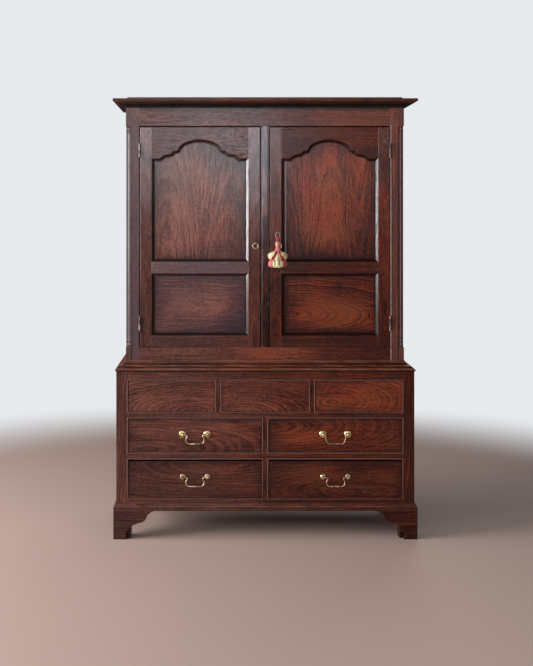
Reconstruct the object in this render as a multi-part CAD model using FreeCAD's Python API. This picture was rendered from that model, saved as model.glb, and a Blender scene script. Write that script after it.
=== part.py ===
import FreeCAD, Part

import math
import os

# A two-part oak linen press: a chest of drawers below, a cupboard with two
# arched panelled doors above. Millimetres, +Z up, the front faces -Y, and the
# origin is on the floor at the middle of the overall width and depth.

V = FreeCAD.Vector
ALONG_X = V(1, 0, 0)
ALONG_Y = V(0, 1, 0)
ALONG_Z = V(0, 0, 1)

# ---------------------------------------------------------------------------
# Driving sizes
# ---------------------------------------------------------------------------

# Lower case
lower_width = 1325.0
lower_depth = 550.0
lower_side_thickness = 20.0
frame_thickness = 24.0
lower_stile_width = 52.5
divider_width = 28.0
rail_height = 31.0
bottom_rail_height = 51.5
tall_row_height = 173.0
middle_row_height = 151.0
dummy_row_height = 137.0
top_rail_height = 42.5
dummy_centre_width = 388.0
top_frame_width = 60.0
inner_board_thickness = 12.0
back_thickness = 12.0
back_board_count = 5
bead_width = 5.0
runner_height = 22.0
runner_width = 32.0
guide_height = 18.0
drawer_side_clearance = 2.0
dummy_gap = 2.0

# Feet and base
foot_height = 127.0
foot_front_reach = 203.0
foot_side_reach = 170.0
foot_thickness = 22.0
foot_block_width = 55.0
ankle_width = 60.0
ankle_waist = 6.0
ankle_height = 24.0
foot_cusp_in = 58.0
foot_cusp_height = 73.0
foot_step_in = 31.0
foot_step_height = 29.0
base_moulding_height = 30.0
base_moulding_out = 12.0

# Upper case
upper_inset = 39.5
upper_side_thickness = 18.0
post_width = 59.5
post_depth = 32.0
column_recess = 23.0
column_radius = 20.0
column_torus_height = 18.0
column_ring_height = 9.0
column_groove_height = 5.0
column_foot_fillet = 3.0
column_torus_swell = 4.0
column_groove_depth = 3.0
column_ring_step = 1.0
column_inset = 0.5
upper_bottom_rail_height = 101.5
door_opening_height = 991.5
frieze_height = 112.0
top_board_thickness = 18.0
top_board_setback = 6.0
muntin_width = 35.0
muntin_depth = 30.0
muntin_bead = 5.0
muntin_quirk = 1.6
shelf_thickness = 18.0
lower_shelf_height = 420.0
upper_shelf_height = 770.0
shelf_setback = 62.0
shelf_side_gap = 0.5
bearer_size = 20.0

# Cornice and waist moulding
cornice_height = 37.0
cornice_out = 54.0
cornice_drop = 30.0
waist_height = 43.0
waist_overhang = 5.0

# Doors
door_thickness = 24.0
door_top_gap = 5.5
door_bottom_gap = 2.5
door_hinge_gap = 4.5
door_muntin_gap = 5.0
door_stile_flat = 51.0
door_top_rail_flat = 54.0
door_mid_rail_flat = 49.5
door_bottom_rail_flat = 49.0
lower_panel_height = 281.0
panel_moulding = 11.0
panel_moulding_depth = 9.0
groove_setback = 12.0
groove_width = 6.0
groove_line = 2.0
tongue_line = 3.0
field_line = 15.0
field_rise = 2.0
tenon_length = 34.0
tenon_shoulder = 4.0

# Arched head of the upper door panels
arch_rise = 85.0
arch_radius = 170.0
arch_turn = 24.0
haunch_radius = 57.0
haunch_turn = 66.0
pendant_radius = 12.0
lobe_radius = 20.0
lobe_overlap = 1.0
lobe_tilt = 14.0
shoulder_radius = 50.0

# Butt hinges
hinge_height = 65.0
hinge_inset = 72.0
pivot_proud = 4.0
knuckle_radius = 4.1
knuckle_count = 5
knuckle_gap = 0.3
hinge_pin_radius = 1.75
hinge_pin_clearance = 0.05
hinge_pin_tip = 2.5
leaf_thickness = 1.6
leaf_depth = 20.0

# Ring pulls
pull_height = 464.0
left_pull_from_edge = 20.2
right_pull_from_edge = 39.2
pull_proud = 5.5
pull_ring_radius = 12.0
pull_wire_radius = 1.75
pull_ball_radius = 4.5
pull_eye_radius = 2.7
pull_shank_radius = 2.0

# Lock, key and bolt
key_height = 510.0
key_from_edge = 32.5
key_shank_radius = 2.8
key_reach = 70.0
key_bow_length = 21.0
key_bow_height = 25.0
key_bow_thickness = 3.6
key_bow_wire = 3.4
key_bit_radius = 11.0
key_bit_length = 7.0
key_bit_thickness = 2.4
key_clearance = 0.3
lock_width = 48.0
lock_height = 70.0
lock_wall = 2.0
lock_depth = 14.0
bolt_height = 12.0
bolt_rise = 12.0
bolt_travel = 12.0
bolt_clearance = 0.4
keyhole_radius = 4.5
keyhole_slot = 4.0
keyhole_drop = 13.0
liner_wall = 1.2
liner_depth = 3.0

# Tassel on the key
tassel_standoff = 42.0
cord_radius = 1.6
cord_hang = 0.4
cord_loop_half_width = 9.5
cord_foot_half_width = 3.4
tassel_head_drop = 40.0
tassel_head_radius = 9.0
tassel_head_depth = 6.5
tassel_neck_radius = 5.5
tassel_skirt_top = 66.0
tassel_bottom = 153.0
tassel_half_width = 44.0
tassel_half_depth = 33.0

# Drawers
drawer_back_clearance = 38.0
drawer_front_thickness = 22.0
drawer_side_thickness = 11.0
drawer_bottom_thickness = 8.0
drawer_bottom_rise = 6.0
drawer_run_gap = 0.3
middle_drawer_top_gap = 3.0
tall_drawer_top_gap = 8.0
drawer_side_drop = 8.0
drawer_back_drop = 16.0
dovetail_length = 14.0
dovetail_count = 3
dovetail_flare = 5.0

# Drawer handles
post_spacing = 110.0
post_proud = 13.0
post_ball_radius = 5.5
post_neck_radius = 3.2
post_thread_radius = 2.5
bail_pin_radius = 2.2
bail_pin_clearance = 0.08
bail_pin_overrun = 1.5
bail_drop = 41.0
bail_bar_radius = 4.5
bail_bar_half_length = 24.0
middle_handle_height = 82.0
tall_handle_height = 97.0
middle_rose_radius = 17.0
tall_rose_radius = 12.8
rose_rim = 1.4
rose_dome = 6.0
nut_width = 10.0
nut_thickness = 4.0

# ---------------------------------------------------------------------------
# Places worked out from the sizes
# ---------------------------------------------------------------------------

lower_half = lower_width / 2
upper_half = lower_half - upper_inset
opening_half = upper_half - post_width
stile_inner = lower_half - lower_stile_width
muntin_half = muntin_width / 2

tall_row_z = foot_height + bottom_rail_height
tall_row_top = tall_row_z + tall_row_height
middle_row_z = tall_row_top + rail_height
middle_row_top = middle_row_z + middle_row_height
dummy_row_z = middle_row_top + rail_height
dummy_row_top = dummy_row_z + dummy_row_height
waist_z = dummy_row_top + top_rail_height

door_opening_z = waist_z + upper_bottom_rail_height
door_opening_top = door_opening_z + door_opening_height
upper_top = door_opening_top + frieze_height
cornice_z = upper_top - cornice_drop

handle_reach = post_proud + post_ball_radius
front_reach = max(base_moulding_out, waist_overhang, handle_reach,
                  cornice_out - upper_inset, key_reach - upper_inset)
back_y = (lower_depth + front_reach) / 2
lower_front = back_y - lower_depth
upper_front = lower_front + upper_inset
back_inner = back_y - back_thickness

door_z = door_opening_z + door_bottom_gap
door_top = door_opening_top - door_top_gap
door_inner = muntin_half + door_muntin_gap
door_outer = opening_half - door_hinge_gap
door_centre = (door_inner + door_outer) / 2
panel_half = (door_outer - door_inner) / 2 - door_stile_flat
lower_panel_z = door_z + door_bottom_rail_flat
lower_panel_top = lower_panel_z + lower_panel_height
upper_panel_z = lower_panel_top + door_mid_rail_flat
shoulder_z = door_top - door_top_rail_flat - arch_rise
groove_y = upper_front + groove_setback
panel_face_y = groove_y - field_rise

pivot_x = opening_half - door_hinge_gap / 2
pivot_y = upper_front - pivot_proud
left_pull_x = door_inner + left_pull_from_edge
right_pull_x = door_inner + right_pull_from_edge
pull_y = upper_front - pull_proud
pull_z = door_z + pull_height
key_x = door_inner + key_from_edge
key_z = door_z + key_height
lock_front = upper_front + door_thickness - lock_depth
lock_back = upper_front + door_thickness
tassel_y = upper_front - tassel_standoff
rail_back = lower_front + frame_thickness
post_back = upper_front + post_depth


# ---------------------------------------------------------------------------
# Shape helpers
# ---------------------------------------------------------------------------

def box(x0, x1, y0, y1, z0, z1):
    return Part.makeBox(x1 - x0, y1 - y0, z1 - z0, V(x0, y0, z0))


def cylinder(radius, length, start, direction):
    return Part.makeCylinder(radius, length, start, direction)


def on_front(y):
    """Outline points (x, z) at a depth y."""
    return lambda a, b: V(a, y, b)


def on_side(x):
    """Outline points (y, z) at a width x."""
    return lambda a, b: V(x, a, b)


def on_floor(z):
    """Outline points (x, y) at a height z."""
    return lambda a, b: V(a, b, z)


def outline(points, place):
    """A closed wire. Each point is (a, b) or (a, b, bulge): the bulge is how
    far the edge to the next point bows out to the left of its direction."""
    edges = []
    for index, point in enumerate(points):
        after = points[(index + 1) % len(points)]
        start = place(point[0], point[1])
        end = place(after[0], after[1])
        bulge = point[2] if len(point) > 2 else 0.0
        if bulge == 0.0:
            edges.append(Part.LineSegment(start, end).toShape())
            continue
        run_a = after[0] - point[0]
        run_b = after[1] - point[1]
        run = math.hypot(run_a, run_b)
        mid_a = (point[0] + after[0]) / 2 - run_b / run * bulge
        mid_b = (point[1] + after[1]) / 2 + run_a / run * bulge
        edges.append(Part.Arc(start, place(mid_a, mid_b), end).toShape())
    return Part.Wire(edges)


def prism(points, place, direction):
    return Part.Face(outline(points, place)).extrude(direction)


def mirrored(shape):
    return shape.mirror(V(0, 0, 0), ALONG_X)


def both_sides(shape):
    return [shape, mirrored(shape)]


def moved_left(solids, distance):
    moved = []
    for solid in solids:
        copy = solid.copy()
        copy.translate(V(-distance, 0, 0))
        moved.append(copy)
    return moved


def revolved(points, centre, axis, angle=360.0):
    """Turn the outline (radius, height) about an axis through centre."""
    wire = outline(points, lambda a, b: V(a, 0, b))
    turned = Part.Face(wire).revolve(V(0, 0, 0), ALONG_Z, angle)
    turned.Placement = FreeCAD.Placement(centre, FreeCAD.Rotation(ALONG_Z, axis))
    return turned


def rounded_path(points):
    """Straight runs joined by tangent arcs, each as large as its runs allow."""
    edges = []
    start = points[0]
    for before, corner, after in zip(points, points[1:], points[2:]):
        inward = before.sub(corner)
        outward = after.sub(corner)
        turn = math.pi - inward.getAngle(outward)
        trim = 0.45 * min(inward.Length, outward.Length)
        radius = trim / math.tan(turn / 2)
        inward.normalize()
        outward.normalize()
        first = corner.add(inward * trim)
        last = corner.add(outward * trim)
        to_centre = (inward + outward).normalize()
        middle = corner.add(to_centre * (radius / math.cos(turn / 2) - radius))
        edges.append(Part.LineSegment(start, first).toShape())
        edges.append(Part.Arc(first, middle, last).toShape())
        start = last
    edges.append(Part.LineSegment(start, points[-1]).toShape())
    return Part.Wire(edges)


def bend_radii(points):
    """The radius of each rounded bend along a route."""
    radii = []
    for before, corner, after in zip(points, points[1:], points[2:]):
        turn = math.pi - before.sub(corner).getAngle(after.sub(corner))
        shorter = min(before.sub(corner).Length, after.sub(corner).Length)
        radii.append(round(0.45 * shorter / math.tan(turn / 2), 1))
    return radii


def tube(points, radius):
    path = rounded_path(points)
    heading = points[1].sub(points[0])
    section = Part.Wire([Part.Circle(points[0], heading, radius).toShape()])
    return path.makePipeShell([section], True, False)


def moulding_round_case(profile, half_width, front, z):
    """Three mitred lengths round the front and the two sides of a case. The
    profile's points are (how far out, how high) from the case's face."""
    out = max(point[0] for point in profile)
    high = max(point[1] for point in profile)
    flipped = [(-point[0], point[1]) + tuple(-bulge for bulge in point[2:]) for point in profile]
    front_section = Part.Face(outline(flipped, on_side(-half_width - out)))
    front_section.translate(V(0, front, z))
    front_plan = [(-half_width, front), (-half_width - out, front - out),
                  (half_width + out, front - out), (half_width, front)]
    front_cutter = prism(front_plan, on_floor(z), V(0, 0, high))
    front_piece = front_section.extrude(V(2 * (half_width + out), 0, 0)).common(front_cutter)
    side_section = Part.Face(outline(profile, on_front(front - out)))
    side_section.translate(V(half_width, 0, z))
    side_plan = [(half_width, front), (half_width + out, front - out),
                 (half_width + out, back_y), (half_width, back_y)]
    side_cutter = prism(side_plan, on_floor(z), V(0, 0, high))
    side_piece = side_section.extrude(V(0, back_y - front + out, 0)).common(side_cutter)
    return [front_piece] + both_sides(side_piece)


def half_round_frame(x0, x1, z0, z1, width, face_y):
    """Four mitred half-round beads round an opening, standing on the face."""
    rise = width / 2
    pieces = []
    for edge_z, away in ((z0, -1), (z1, 1)):
        plan = [(x0, edge_z), (x1, edge_z), (x1 + width, edge_z + away * width),
                (x0 - width, edge_z + away * width)]
        cutter = prism(plan, on_front(face_y), V(0, -rise, 0))
        low = min(edge_z, edge_z + away * width)
        section = outline([(0, low, rise), (0, low + width)], on_side(x0 - width))
        solid = Part.Face(section).extrude(V(x1 - x0 + 2 * width, 0, 0))
        solid.translate(V(0, face_y, 0))
        pieces.append(solid.common(cutter))
    for edge_x, away in ((x0, -1), (x1, 1)):
        plan = [(edge_x, z0), (edge_x, z1), (edge_x + away * width, z1 + width),
                (edge_x + away * width, z0 - width)]
        cutter = prism(plan, on_front(face_y), V(0, -rise, 0))
        low = min(edge_x, edge_x + away * width)
        section = outline([(low, 0), (low + width, 0, rise)], on_floor(z0 - width))
        solid = Part.Face(section).extrude(V(0, 0, z1 - z0 + 2 * width))
        solid.translate(V(0, face_y, 0))
        pieces.append(solid.common(cutter))
    return pieces


def save(node, solids):
    """Write one node: each solid in it is one piece."""
    shapes = []
    for shape in solids:
        shapes.extend(shape.Solids)
    for solid in shapes:
        assert solid.isValid() and solid.Volume > 0, node
    Part.makeCompound(shapes).exportStep("parts/" + node + ".step")


# ---------------------------------------------------------------------------
# Lower case
# ---------------------------------------------------------------------------

middle_bays = [(-stile_inner, -divider_width / 2), (divider_width / 2, stile_inner)]
dummy_bays = [(-stile_inner, -dummy_centre_width / 2 - divider_width),
              (-dummy_centre_width / 2, dummy_centre_width / 2),
              (dummy_centre_width / 2 + divider_width, stile_inner)]
drawer_rows = [(tall_row_z, tall_row_top), (middle_row_z, middle_row_top)]


def lower_sides():
    side = box(lower_half - lower_side_thickness, lower_half, rail_back, back_y, foot_height, waist_z)
    return both_sides(side)


def lower_uprights():
    stile = box(stile_inner, lower_half, lower_front, rail_back, foot_height, waist_z)
    pieces = both_sides(stile)
    for z0, z1 in drawer_rows:
        pieces.append(box(-divider_width / 2, divider_width / 2, lower_front, rail_back, z0, z1))
    divider = box(dummy_centre_width / 2, dummy_centre_width / 2 + divider_width,
                  lower_front, rail_back, dummy_row_z, dummy_row_top)
    return pieces + both_sides(divider)


def lower_rails():
    spans = [(foot_height, tall_row_z), (tall_row_top, middle_row_z),
             (middle_row_top, dummy_row_z), (dummy_row_top, waist_z)]
    return [box(-stile_inner, stile_inner, lower_front, rail_back, z0, z1) for z0, z1 in spans]


def dummy_fronts():
    fronts = []
    for x0, x1 in dummy_bays:
        fronts.append(box(x0 + dummy_gap, x1 - dummy_gap, lower_front, rail_back,
                          dummy_row_z + dummy_gap, dummy_row_top - dummy_gap))
    return fronts


def opening_beads():
    beads = []
    for x0, x1 in dummy_bays:
        beads += half_round_frame(x0, x1, dummy_row_z, dummy_row_top, bead_width, lower_front)
    for z0, z1 in drawer_rows:
        for x0, x1 in middle_bays:
            beads += half_round_frame(x0, x1, z0, z1, bead_width, lower_front)
    return beads


inside_half = lower_half - lower_side_thickness
lining_back = rail_back + inner_board_thickness
top_frame_z = waist_z - inner_board_thickness


def lower_top_frame():
    """The frame inside the top of the chest that the cupboard stands on."""
    front = box(-inside_half, inside_half, rail_back, rail_back + top_frame_width, top_frame_z, waist_z)
    back = box(-inside_half, inside_half, back_inner - top_frame_width, back_inner, top_frame_z, waist_z)
    side = box(inside_half - top_frame_width, inside_half, rail_back + top_frame_width,
               back_inner - top_frame_width, top_frame_z, waist_z)
    return [front, back] + both_sides(side)


def inner_boards():
    """Bottom board, dust board between the rows, well floor, and the lining
    behind the false fronts."""
    well_floor_z = middle_row_top + (rail_height - inner_board_thickness) / 2
    dust_z = tall_row_top + (rail_height - inner_board_thickness) / 2
    bottom_z = tall_row_z - runner_height - inner_board_thickness
    boards = []
    for z in (bottom_z, well_floor_z):
        boards.append(box(-inside_half, inside_half, rail_back, back_inner, z, z + inner_board_thickness))
    for x0, x1 in ((-inside_half + runner_width + lower_stile_width - lower_side_thickness, -runner_width),
                   (runner_width, inside_half - runner_width - lower_stile_width + lower_side_thickness)):
        boards.append(box(x0, x1, rail_back, back_inner, dust_z, dust_z + inner_board_thickness))
    well_floor_top = well_floor_z + inner_board_thickness
    boards.append(box(-inside_half, inside_half, rail_back, lining_back, well_floor_top, top_frame_z))
    return boards


def drawer_runners():
    """A runner under each drawer side, with a guide along its outer edge. The
    middle one carries a drawer on each side of its guide."""
    side_inner = stile_inner - runner_width
    pieces = []
    for z, _ in drawer_rows:
        low = z - runner_height
        side = box(side_inner, inside_half, rail_back, back_inner, low, z)
        guide = box(stile_inner, inside_half, rail_back, back_inner, z, z + guide_height)
        pieces += both_sides(side.fuse(guide).removeSplitter())
        middle = box(-runner_width, runner_width, rail_back, back_inner, low, z)
        keeper = box(-divider_width / 2, divider_width / 2, rail_back, back_inner, z, z + guide_height)
        pieces.append(middle.fuse(keeper).removeSplitter())
    return pieces


def back_boards(half_width, z0, z1):
    width = 2 * half_width / back_board_count
    boards = []
    for index in range(back_board_count):
        x0 = -half_width + index * width
        boards.append(box(x0, x0 + width, back_inner, back_y, z0, z1))
    return boards


def waist_moulding():
    """Top fillet, cove, ogee and a rounded nose that hangs over the chest."""
    out = upper_inset + waist_overhang
    top = waist_height
    profile = [(0, 0), (out - 1.5, 0, -1.5), (out, 7.5), (out - 3, 8.5), (out - 5, 9.5, -3.0),
               (out * 0.42, top - 20.0, 2.5), (6.0, top - 7.0), (3.0, top - 7.0), (3.0, top), (0, top)]
    return moulding_round_case(profile, upper_half, upper_front, waist_z)


def base_moulding():
    """A small ogee round the bottom of the chest, over the feet."""
    out = base_moulding_out
    top = base_moulding_height
    profile = [(0, 0), (out, 0), (out, top - 13.0), (out - 3.0, top - 11.0), (out - 4.0, top - 8.0, 1.6),
               (2.0, top - 2.0), (2.0, top), (0, top)]
    return moulding_round_case(profile, lower_half, lower_front, foot_height)


def bracket_points(reach):
    """Bracket foot seen from its outer corner: (inward, up). An ankle, a cove
    up to a cusp, a lobe, and a second cove that runs out under the case."""
    cusp = (ankle_width + foot_cusp_in, foot_cusp_height)
    step = (cusp[0] + foot_step_in, foot_cusp_height + foot_step_height)
    waist = (ankle_width - ankle_waist, ankle_height)
    tip = max(reach, step[0] + foot_step_in)
    last_bulge = 0.15 * math.hypot(tip - step[0], foot_height - step[1])
    return [(0, foot_height), (0, 0), (ankle_width, 0, 1.5), waist + (11.0,), cusp + (-7.0,),
            step + (last_bulge,), (tip, foot_height)]


def bracket_front():
    outer = lower_half + base_moulding_out
    points = [(outer - inward, up) + tuple(-bulge for bulge in rest)
              for inward, up, *rest in bracket_points(foot_front_reach)]
    flat = prism(points, on_front(lower_front - base_moulding_out), V(0, foot_thickness, 0))
    corner = lower_front - base_moulding_out
    mitre = [(0, corner), (outer, corner), (outer - foot_thickness, corner + foot_thickness),
             (0, corner + foot_thickness)]
    return flat.common(prism(mitre, on_floor(0), V(0, 0, foot_height)))


def bracket_side():
    outer = lower_half + base_moulding_out
    corner = lower_front - base_moulding_out
    points = [(corner + inward, up) + tuple(rest)
              for inward, up, *rest in bracket_points(foot_side_reach)]
    flat = prism(points, on_side(outer - foot_thickness), V(foot_thickness, 0, 0))
    far = corner + foot_front_reach + foot_side_reach
    mitre = [(outer, corner), (outer, far), (outer - foot_thickness, far),
             (outer - foot_thickness, corner + foot_thickness)]
    return flat.common(prism(mitre, on_floor(0), V(0, 0, foot_height)))


foot_inner = lower_half + base_moulding_out - foot_thickness
foot_front_inner = lower_front - base_moulding_out + foot_thickness


def front_feet():
    block = box(foot_inner - foot_block_width, foot_inner, foot_front_inner,
                foot_front_inner + foot_block_width, 0, foot_height)
    return both_sides(bracket_front()) + both_sides(bracket_side()) + both_sides(block)


def back_feet():
    outer = lower_half + base_moulding_out
    points = [(back_y - inward, up) + tuple(-bulge for bulge in rest)
              for inward, up, *rest in bracket_points(foot_side_reach)]
    bracket = prism(points, on_side(outer - foot_thickness), V(foot_thickness, 0, 0))
    block = box(foot_inner - foot_block_width, foot_inner, back_y - foot_block_width, back_y, 0, foot_height)
    return both_sides(bracket) + both_sides(block)


# ---------------------------------------------------------------------------
# Upper case
# ---------------------------------------------------------------------------

hinge_spans = [(door_z + hinge_inset, door_z + hinge_inset + hinge_height),
               (door_top - hinge_inset - hinge_height, door_top - hinge_inset)]


def case_leaf_slot(z0, z1):
    """The space that a case leaf takes in the right-hand post."""
    return box(opening_half, opening_half + leaf_thickness, upper_front, upper_front + leaf_depth, z0, z1)


def door_leaf_slot(z0, z1):
    """The space that a door leaf takes in the right-hand door's edge."""
    return box(door_outer - leaf_thickness, door_outer, upper_front, upper_front + leaf_depth, z0, z1)


def upper_sides():
    side = box(upper_half - upper_side_thickness, upper_half, post_back, back_y, waist_z, upper_top)
    return both_sides(side)


def upper_posts():
    post = box(opening_half, upper_half, upper_front, post_back, waist_z, upper_top)
    recess = box(upper_half - column_recess, upper_half, upper_front, upper_front + column_recess,
                 door_opening_z, door_opening_top)
    post = post.cut(recess)
    for z0, z1 in hinge_spans:
        post = post.cut(case_leaf_slot(z0, z1))
    return both_sides(post)


def column_end(z, up):
    """Points (radius, z) of a base going up, or of a capital going down."""
    torus_foot = column_recess - column_inset - column_torus_swell
    groove = column_radius - column_groove_depth
    z1 = z + up * column_foot_fillet
    z2 = z1 + up * column_torus_height
    z3 = z2 + up * column_groove_height
    z4 = z3 + up * column_ring_height
    swell = -up * column_torus_swell
    return [(torus_foot, z), (torus_foot, z1, swell), (torus_foot, z2), (groove, z2), (groove, z3),
            (column_radius, z3, swell / 3), (column_radius, z4), (column_radius - column_ring_step, z4)]


def quarter_columns():
    base = column_end(door_opening_z, 1)
    capital = column_end(door_opening_top, -1)
    capital_up = []
    for index in range(len(capital) - 1, -1, -1):
        point = capital[index]
        before = capital[index - 1] if index else None
        bulge = -before[2] if before and len(before) > 2 else 0.0
        capital_up.append((point[0], point[1], bulge))
    points = [(0, door_opening_z)] + base + capital_up + [(0, door_opening_top)]
    centre = V(upper_half - column_recess, upper_front + column_recess, 0)
    column = revolved(points, centre, ALONG_Z)
    quarter = box(centre.x, upper_half, upper_front, centre.y, door_opening_z, door_opening_top)
    return both_sides(column.common(quarter))


def upper_rails():
    bottom = box(-opening_half, opening_half, upper_front, upper_front + frame_thickness,
                 waist_z, door_opening_z)
    frieze = box(-opening_half, opening_half, upper_front, upper_front + frame_thickness,
                 door_opening_top, upper_top)
    return [bottom, frieze]


def bolt_box(clearance, tip, tail):
    """The bolt's own size, grown by a clearance in its cross-section."""
    y0 = lock_front + lock_wall + 1.0
    y1 = lock_back - lock_wall - 1.0
    z0 = key_z + bolt_rise
    return box(tip, tail, y0 - clearance, y1 + clearance, z0 - clearance, z0 + bolt_height + clearance)


bolt_tip = door_inner + 0.2


def centre_muntin():
    """The fixed upright between the doors, with a bead along each edge."""
    half = muntin_half
    r = muntin_bead / 2
    front = upper_front
    back = upper_front + muntin_depth
    quirk = muntin_bead + muntin_quirk
    points = [(-half, back), (-half, front + r, r), (-half + muntin_bead, front + r),
              (-half + muntin_bead, front + r + 1.0), (-half + quirk, front + r + 1.0),
              (-half + quirk, front), (half - quirk, front), (half - quirk, front + r + 1.0),
              (half - muntin_bead, front + r + 1.0), (half - muntin_bead, front + r, r),
              (half, front + r), (half, back)]
    points = [(a, b) + tuple(-bulge for bulge in rest) for a, b, *rest in points]
    muntin = prism(points, on_floor(door_opening_z), V(0, 0, door_opening_height))
    mortise = bolt_box(bolt_clearance, bolt_tip - bolt_travel - 1.0, muntin_half + 1.0)
    return [muntin.cut(mortise)]


def upper_back():
    return back_boards(upper_half - upper_side_thickness, waist_z, upper_top)


def top_board():
    half = upper_half - top_board_setback
    return [box(-half, half, upper_front + top_board_setback, back_y, upper_top,
                upper_top + top_board_thickness)]


def cornice():
    """Fillet, cove, step and ogee under a square top fillet."""
    out = cornice_out
    top = cornice_height
    profile = [(0, 0), (4.0, 0), (4.0, 3.0), (7.0, 3.5, 5.0), (27.0, top - 23.0), (31.0, top - 23.0),
               (31.0, top - 20.0, -2.2), (40.0, top - 15.5, 2.2), (out - 4.0, top - 11.0), (out, top - 11.0),
               (out, top), (0, top)]
    return moulding_round_case(profile, upper_half, upper_front, cornice_z)


upper_inside_half = upper_half - upper_side_thickness
shelf_front = upper_front + shelf_setback
shelf_levels = [waist_z + lower_shelf_height, waist_z + upper_shelf_height]


def shelf_bearers():
    pieces = []
    for z in shelf_levels:
        pieces += both_sides(box(upper_inside_half - bearer_size, upper_inside_half, shelf_front,
                                 back_inner, z - bearer_size, z))
    return pieces


def shelves():
    half = upper_inside_half - shelf_side_gap
    return [box(-half, half, shelf_front, back_inner, z, z + shelf_thickness) for z in shelf_levels]


# ---------------------------------------------------------------------------
# Doors: all made as the right-hand door, and mirrored for the left
# ---------------------------------------------------------------------------

def bulge_about(start, end, centre):
    """The bulge of the short arc from start to end about a centre."""
    radius = math.hypot(start[0] - centre[0], start[1] - centre[1])
    run_a = end[0] - start[0]
    run_b = end[1] - start[1]
    run = math.hypot(run_a, run_b)
    depth = radius - math.sqrt(max(radius * radius - run * run / 4, 0.0))
    side = (centre[0] - start[0]) * -run_b + (centre[1] - start[1]) * run_a
    return -depth if side > 0 else depth


def lower_crossing(first, first_radius, second, second_radius):
    """The lower of the two points where two circles cross."""
    apart = math.hypot(second[0] - first[0], second[1] - first[1])
    along = (apart ** 2 + first_radius ** 2 - second_radius ** 2) / (2 * apart)
    across = math.sqrt(first_radius ** 2 - along ** 2)
    unit_a = (second[0] - first[0]) / apart
    unit_b = (second[1] - first[1]) / apart
    return (first[0] + along * unit_a + across * unit_b, first[1] + along * unit_b - across * unit_a)


def arched_outline(inset):
    """The upper panel's opening, drawn in by inset: a flat shoulder, a cove, a
    lobe and a small pendant that meet in a cusp, then the haunch and arch."""
    turn = math.radians(arch_turn)
    lean = math.radians(haunch_turn)
    tilt = math.radians(lobe_tilt)
    crown = (0.0, arch_rise - arch_radius)
    reach = arch_radius - haunch_radius
    haunch = (crown[0] + reach * math.sin(turn), crown[1] + reach * math.cos(turn))
    reach = haunch_radius + pendant_radius
    pendant = (haunch[0] + reach * math.sin(lean), haunch[1] + reach * math.cos(lean))
    reach = pendant_radius + lobe_radius - lobe_overlap
    lobe = (pendant[0] + reach * math.cos(tilt), pendant[1] - reach * math.sin(tilt))
    shoulder = (lobe[0], lobe[1] - lobe_radius - shoulder_radius)

    shoulder_r = shoulder_radius - inset
    lobe_r = lobe_radius + inset
    pendant_r = pendant_radius + inset
    haunch_r = haunch_radius - inset
    arch_r = arch_radius - inset
    rise = -inset - shoulder[1]
    foot = (shoulder[0] + math.sqrt(shoulder_r ** 2 - rise ** 2), -inset)
    lobe_foot = (lobe[0], lobe[1] - lobe_r)
    cusp = lower_crossing(pendant, pendant_r, lobe, lobe_r)
    pendant_end = (haunch[0] + haunch_r * math.sin(lean), haunch[1] + haunch_r * math.cos(lean))
    arch_end = (crown[0] + arch_r * math.sin(turn), crown[1] + arch_r * math.cos(turn))

    run = [(foot, shoulder), (lobe_foot, lobe), (cusp, pendant), (pendant_end, haunch), (arch_end, crown)]
    right = []
    left = [(-foot[0], foot[1])]
    for (start, centre), (end, _) in zip(run, run[1:]):
        bulge = bulge_about(start, end, centre)
        right.append(start + (bulge,))
        left.insert(0, (-end[0], end[1], bulge))
    right.append(arch_end + (bulge_about(arch_end, (-arch_end[0], arch_end[1]), crown),))

    half = panel_half - inset
    low = upper_panel_z + inset
    points = [(-half, low), (half, low), (half, shoulder_z - inset)]
    for point in right + left:
        points.append((point[0], point[1] + shoulder_z) + tuple(point[2:]))
    points.append((-half, shoulder_z - inset))
    return [(point[0] + door_centre,) + tuple(point[1:]) for point in points]


def plain_outline(inset):
    half = panel_half - inset
    low = lower_panel_z + inset
    high = lower_panel_top - inset
    return [(door_centre - half, low), (door_centre + half, low),
            (door_centre + half, high), (door_centre - half, high)]


def tapered(shape_at, first_inset, first_y, second_inset, second_y):
    """A solid between one outline and the same one drawn further in."""
    first = outline(shape_at(first_inset), on_front(first_y))
    second = outline(shape_at(second_inset), on_front(second_y))
    return Part.makeLoft([first, second], True, True)


def door_frame_blank():
    """The whole door frame before it is divided into stiles and rails."""
    blank = box(door_inner, door_outer, upper_front, upper_front + door_thickness, door_z, door_top)
    for shape_at in (plain_outline, arched_outline):
        bevel = tapered(shape_at, 0.0, upper_front, panel_moulding, upper_front + panel_moulding_depth)
        through = prism(shape_at(panel_moulding), on_front(upper_front), V(0, door_thickness, 0))
        groove = prism(shape_at(groove_line), on_front(groove_y), V(0, groove_width, 0))
        blank = blank.cut(bevel).cut(through).cut(groove)
    return blank


def stile_region(x_edge, x_flat, x_open):
    """One stile's outline: it keeps the moulding beside each panel, mitred."""
    m = panel_moulding
    points = [(x_edge, door_z), (x_flat, door_z)]
    for z0, z1 in ((lower_panel_z, lower_panel_top), (upper_panel_z, shoulder_z)):
        points += [(x_flat, z0), (x_open, z0 + m), (x_open, z1 - m), (x_flat, z1)]
    points += [(x_flat, door_top), (x_edge, door_top)]
    return prism(points, on_front(upper_front), V(0, door_thickness, 0))


inner_flat = door_inner + door_stile_flat
outer_flat = door_outer - door_stile_flat
tenon_spans = [(door_z + 4 * tenon_shoulder, lower_panel_z - tenon_shoulder),
               (lower_panel_top + tenon_shoulder, upper_panel_z - tenon_shoulder),
               (shoulder_z + tenon_shoulder, door_top - 4 * tenon_shoulder)]


def tenons(z0, z1):
    y1 = groove_y + groove_width
    return [box(inner_flat - tenon_length, inner_flat, groove_y, y1, z0, z1),
            box(outer_flat, outer_flat + tenon_length, groove_y, y1, z0, z1)]


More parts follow.
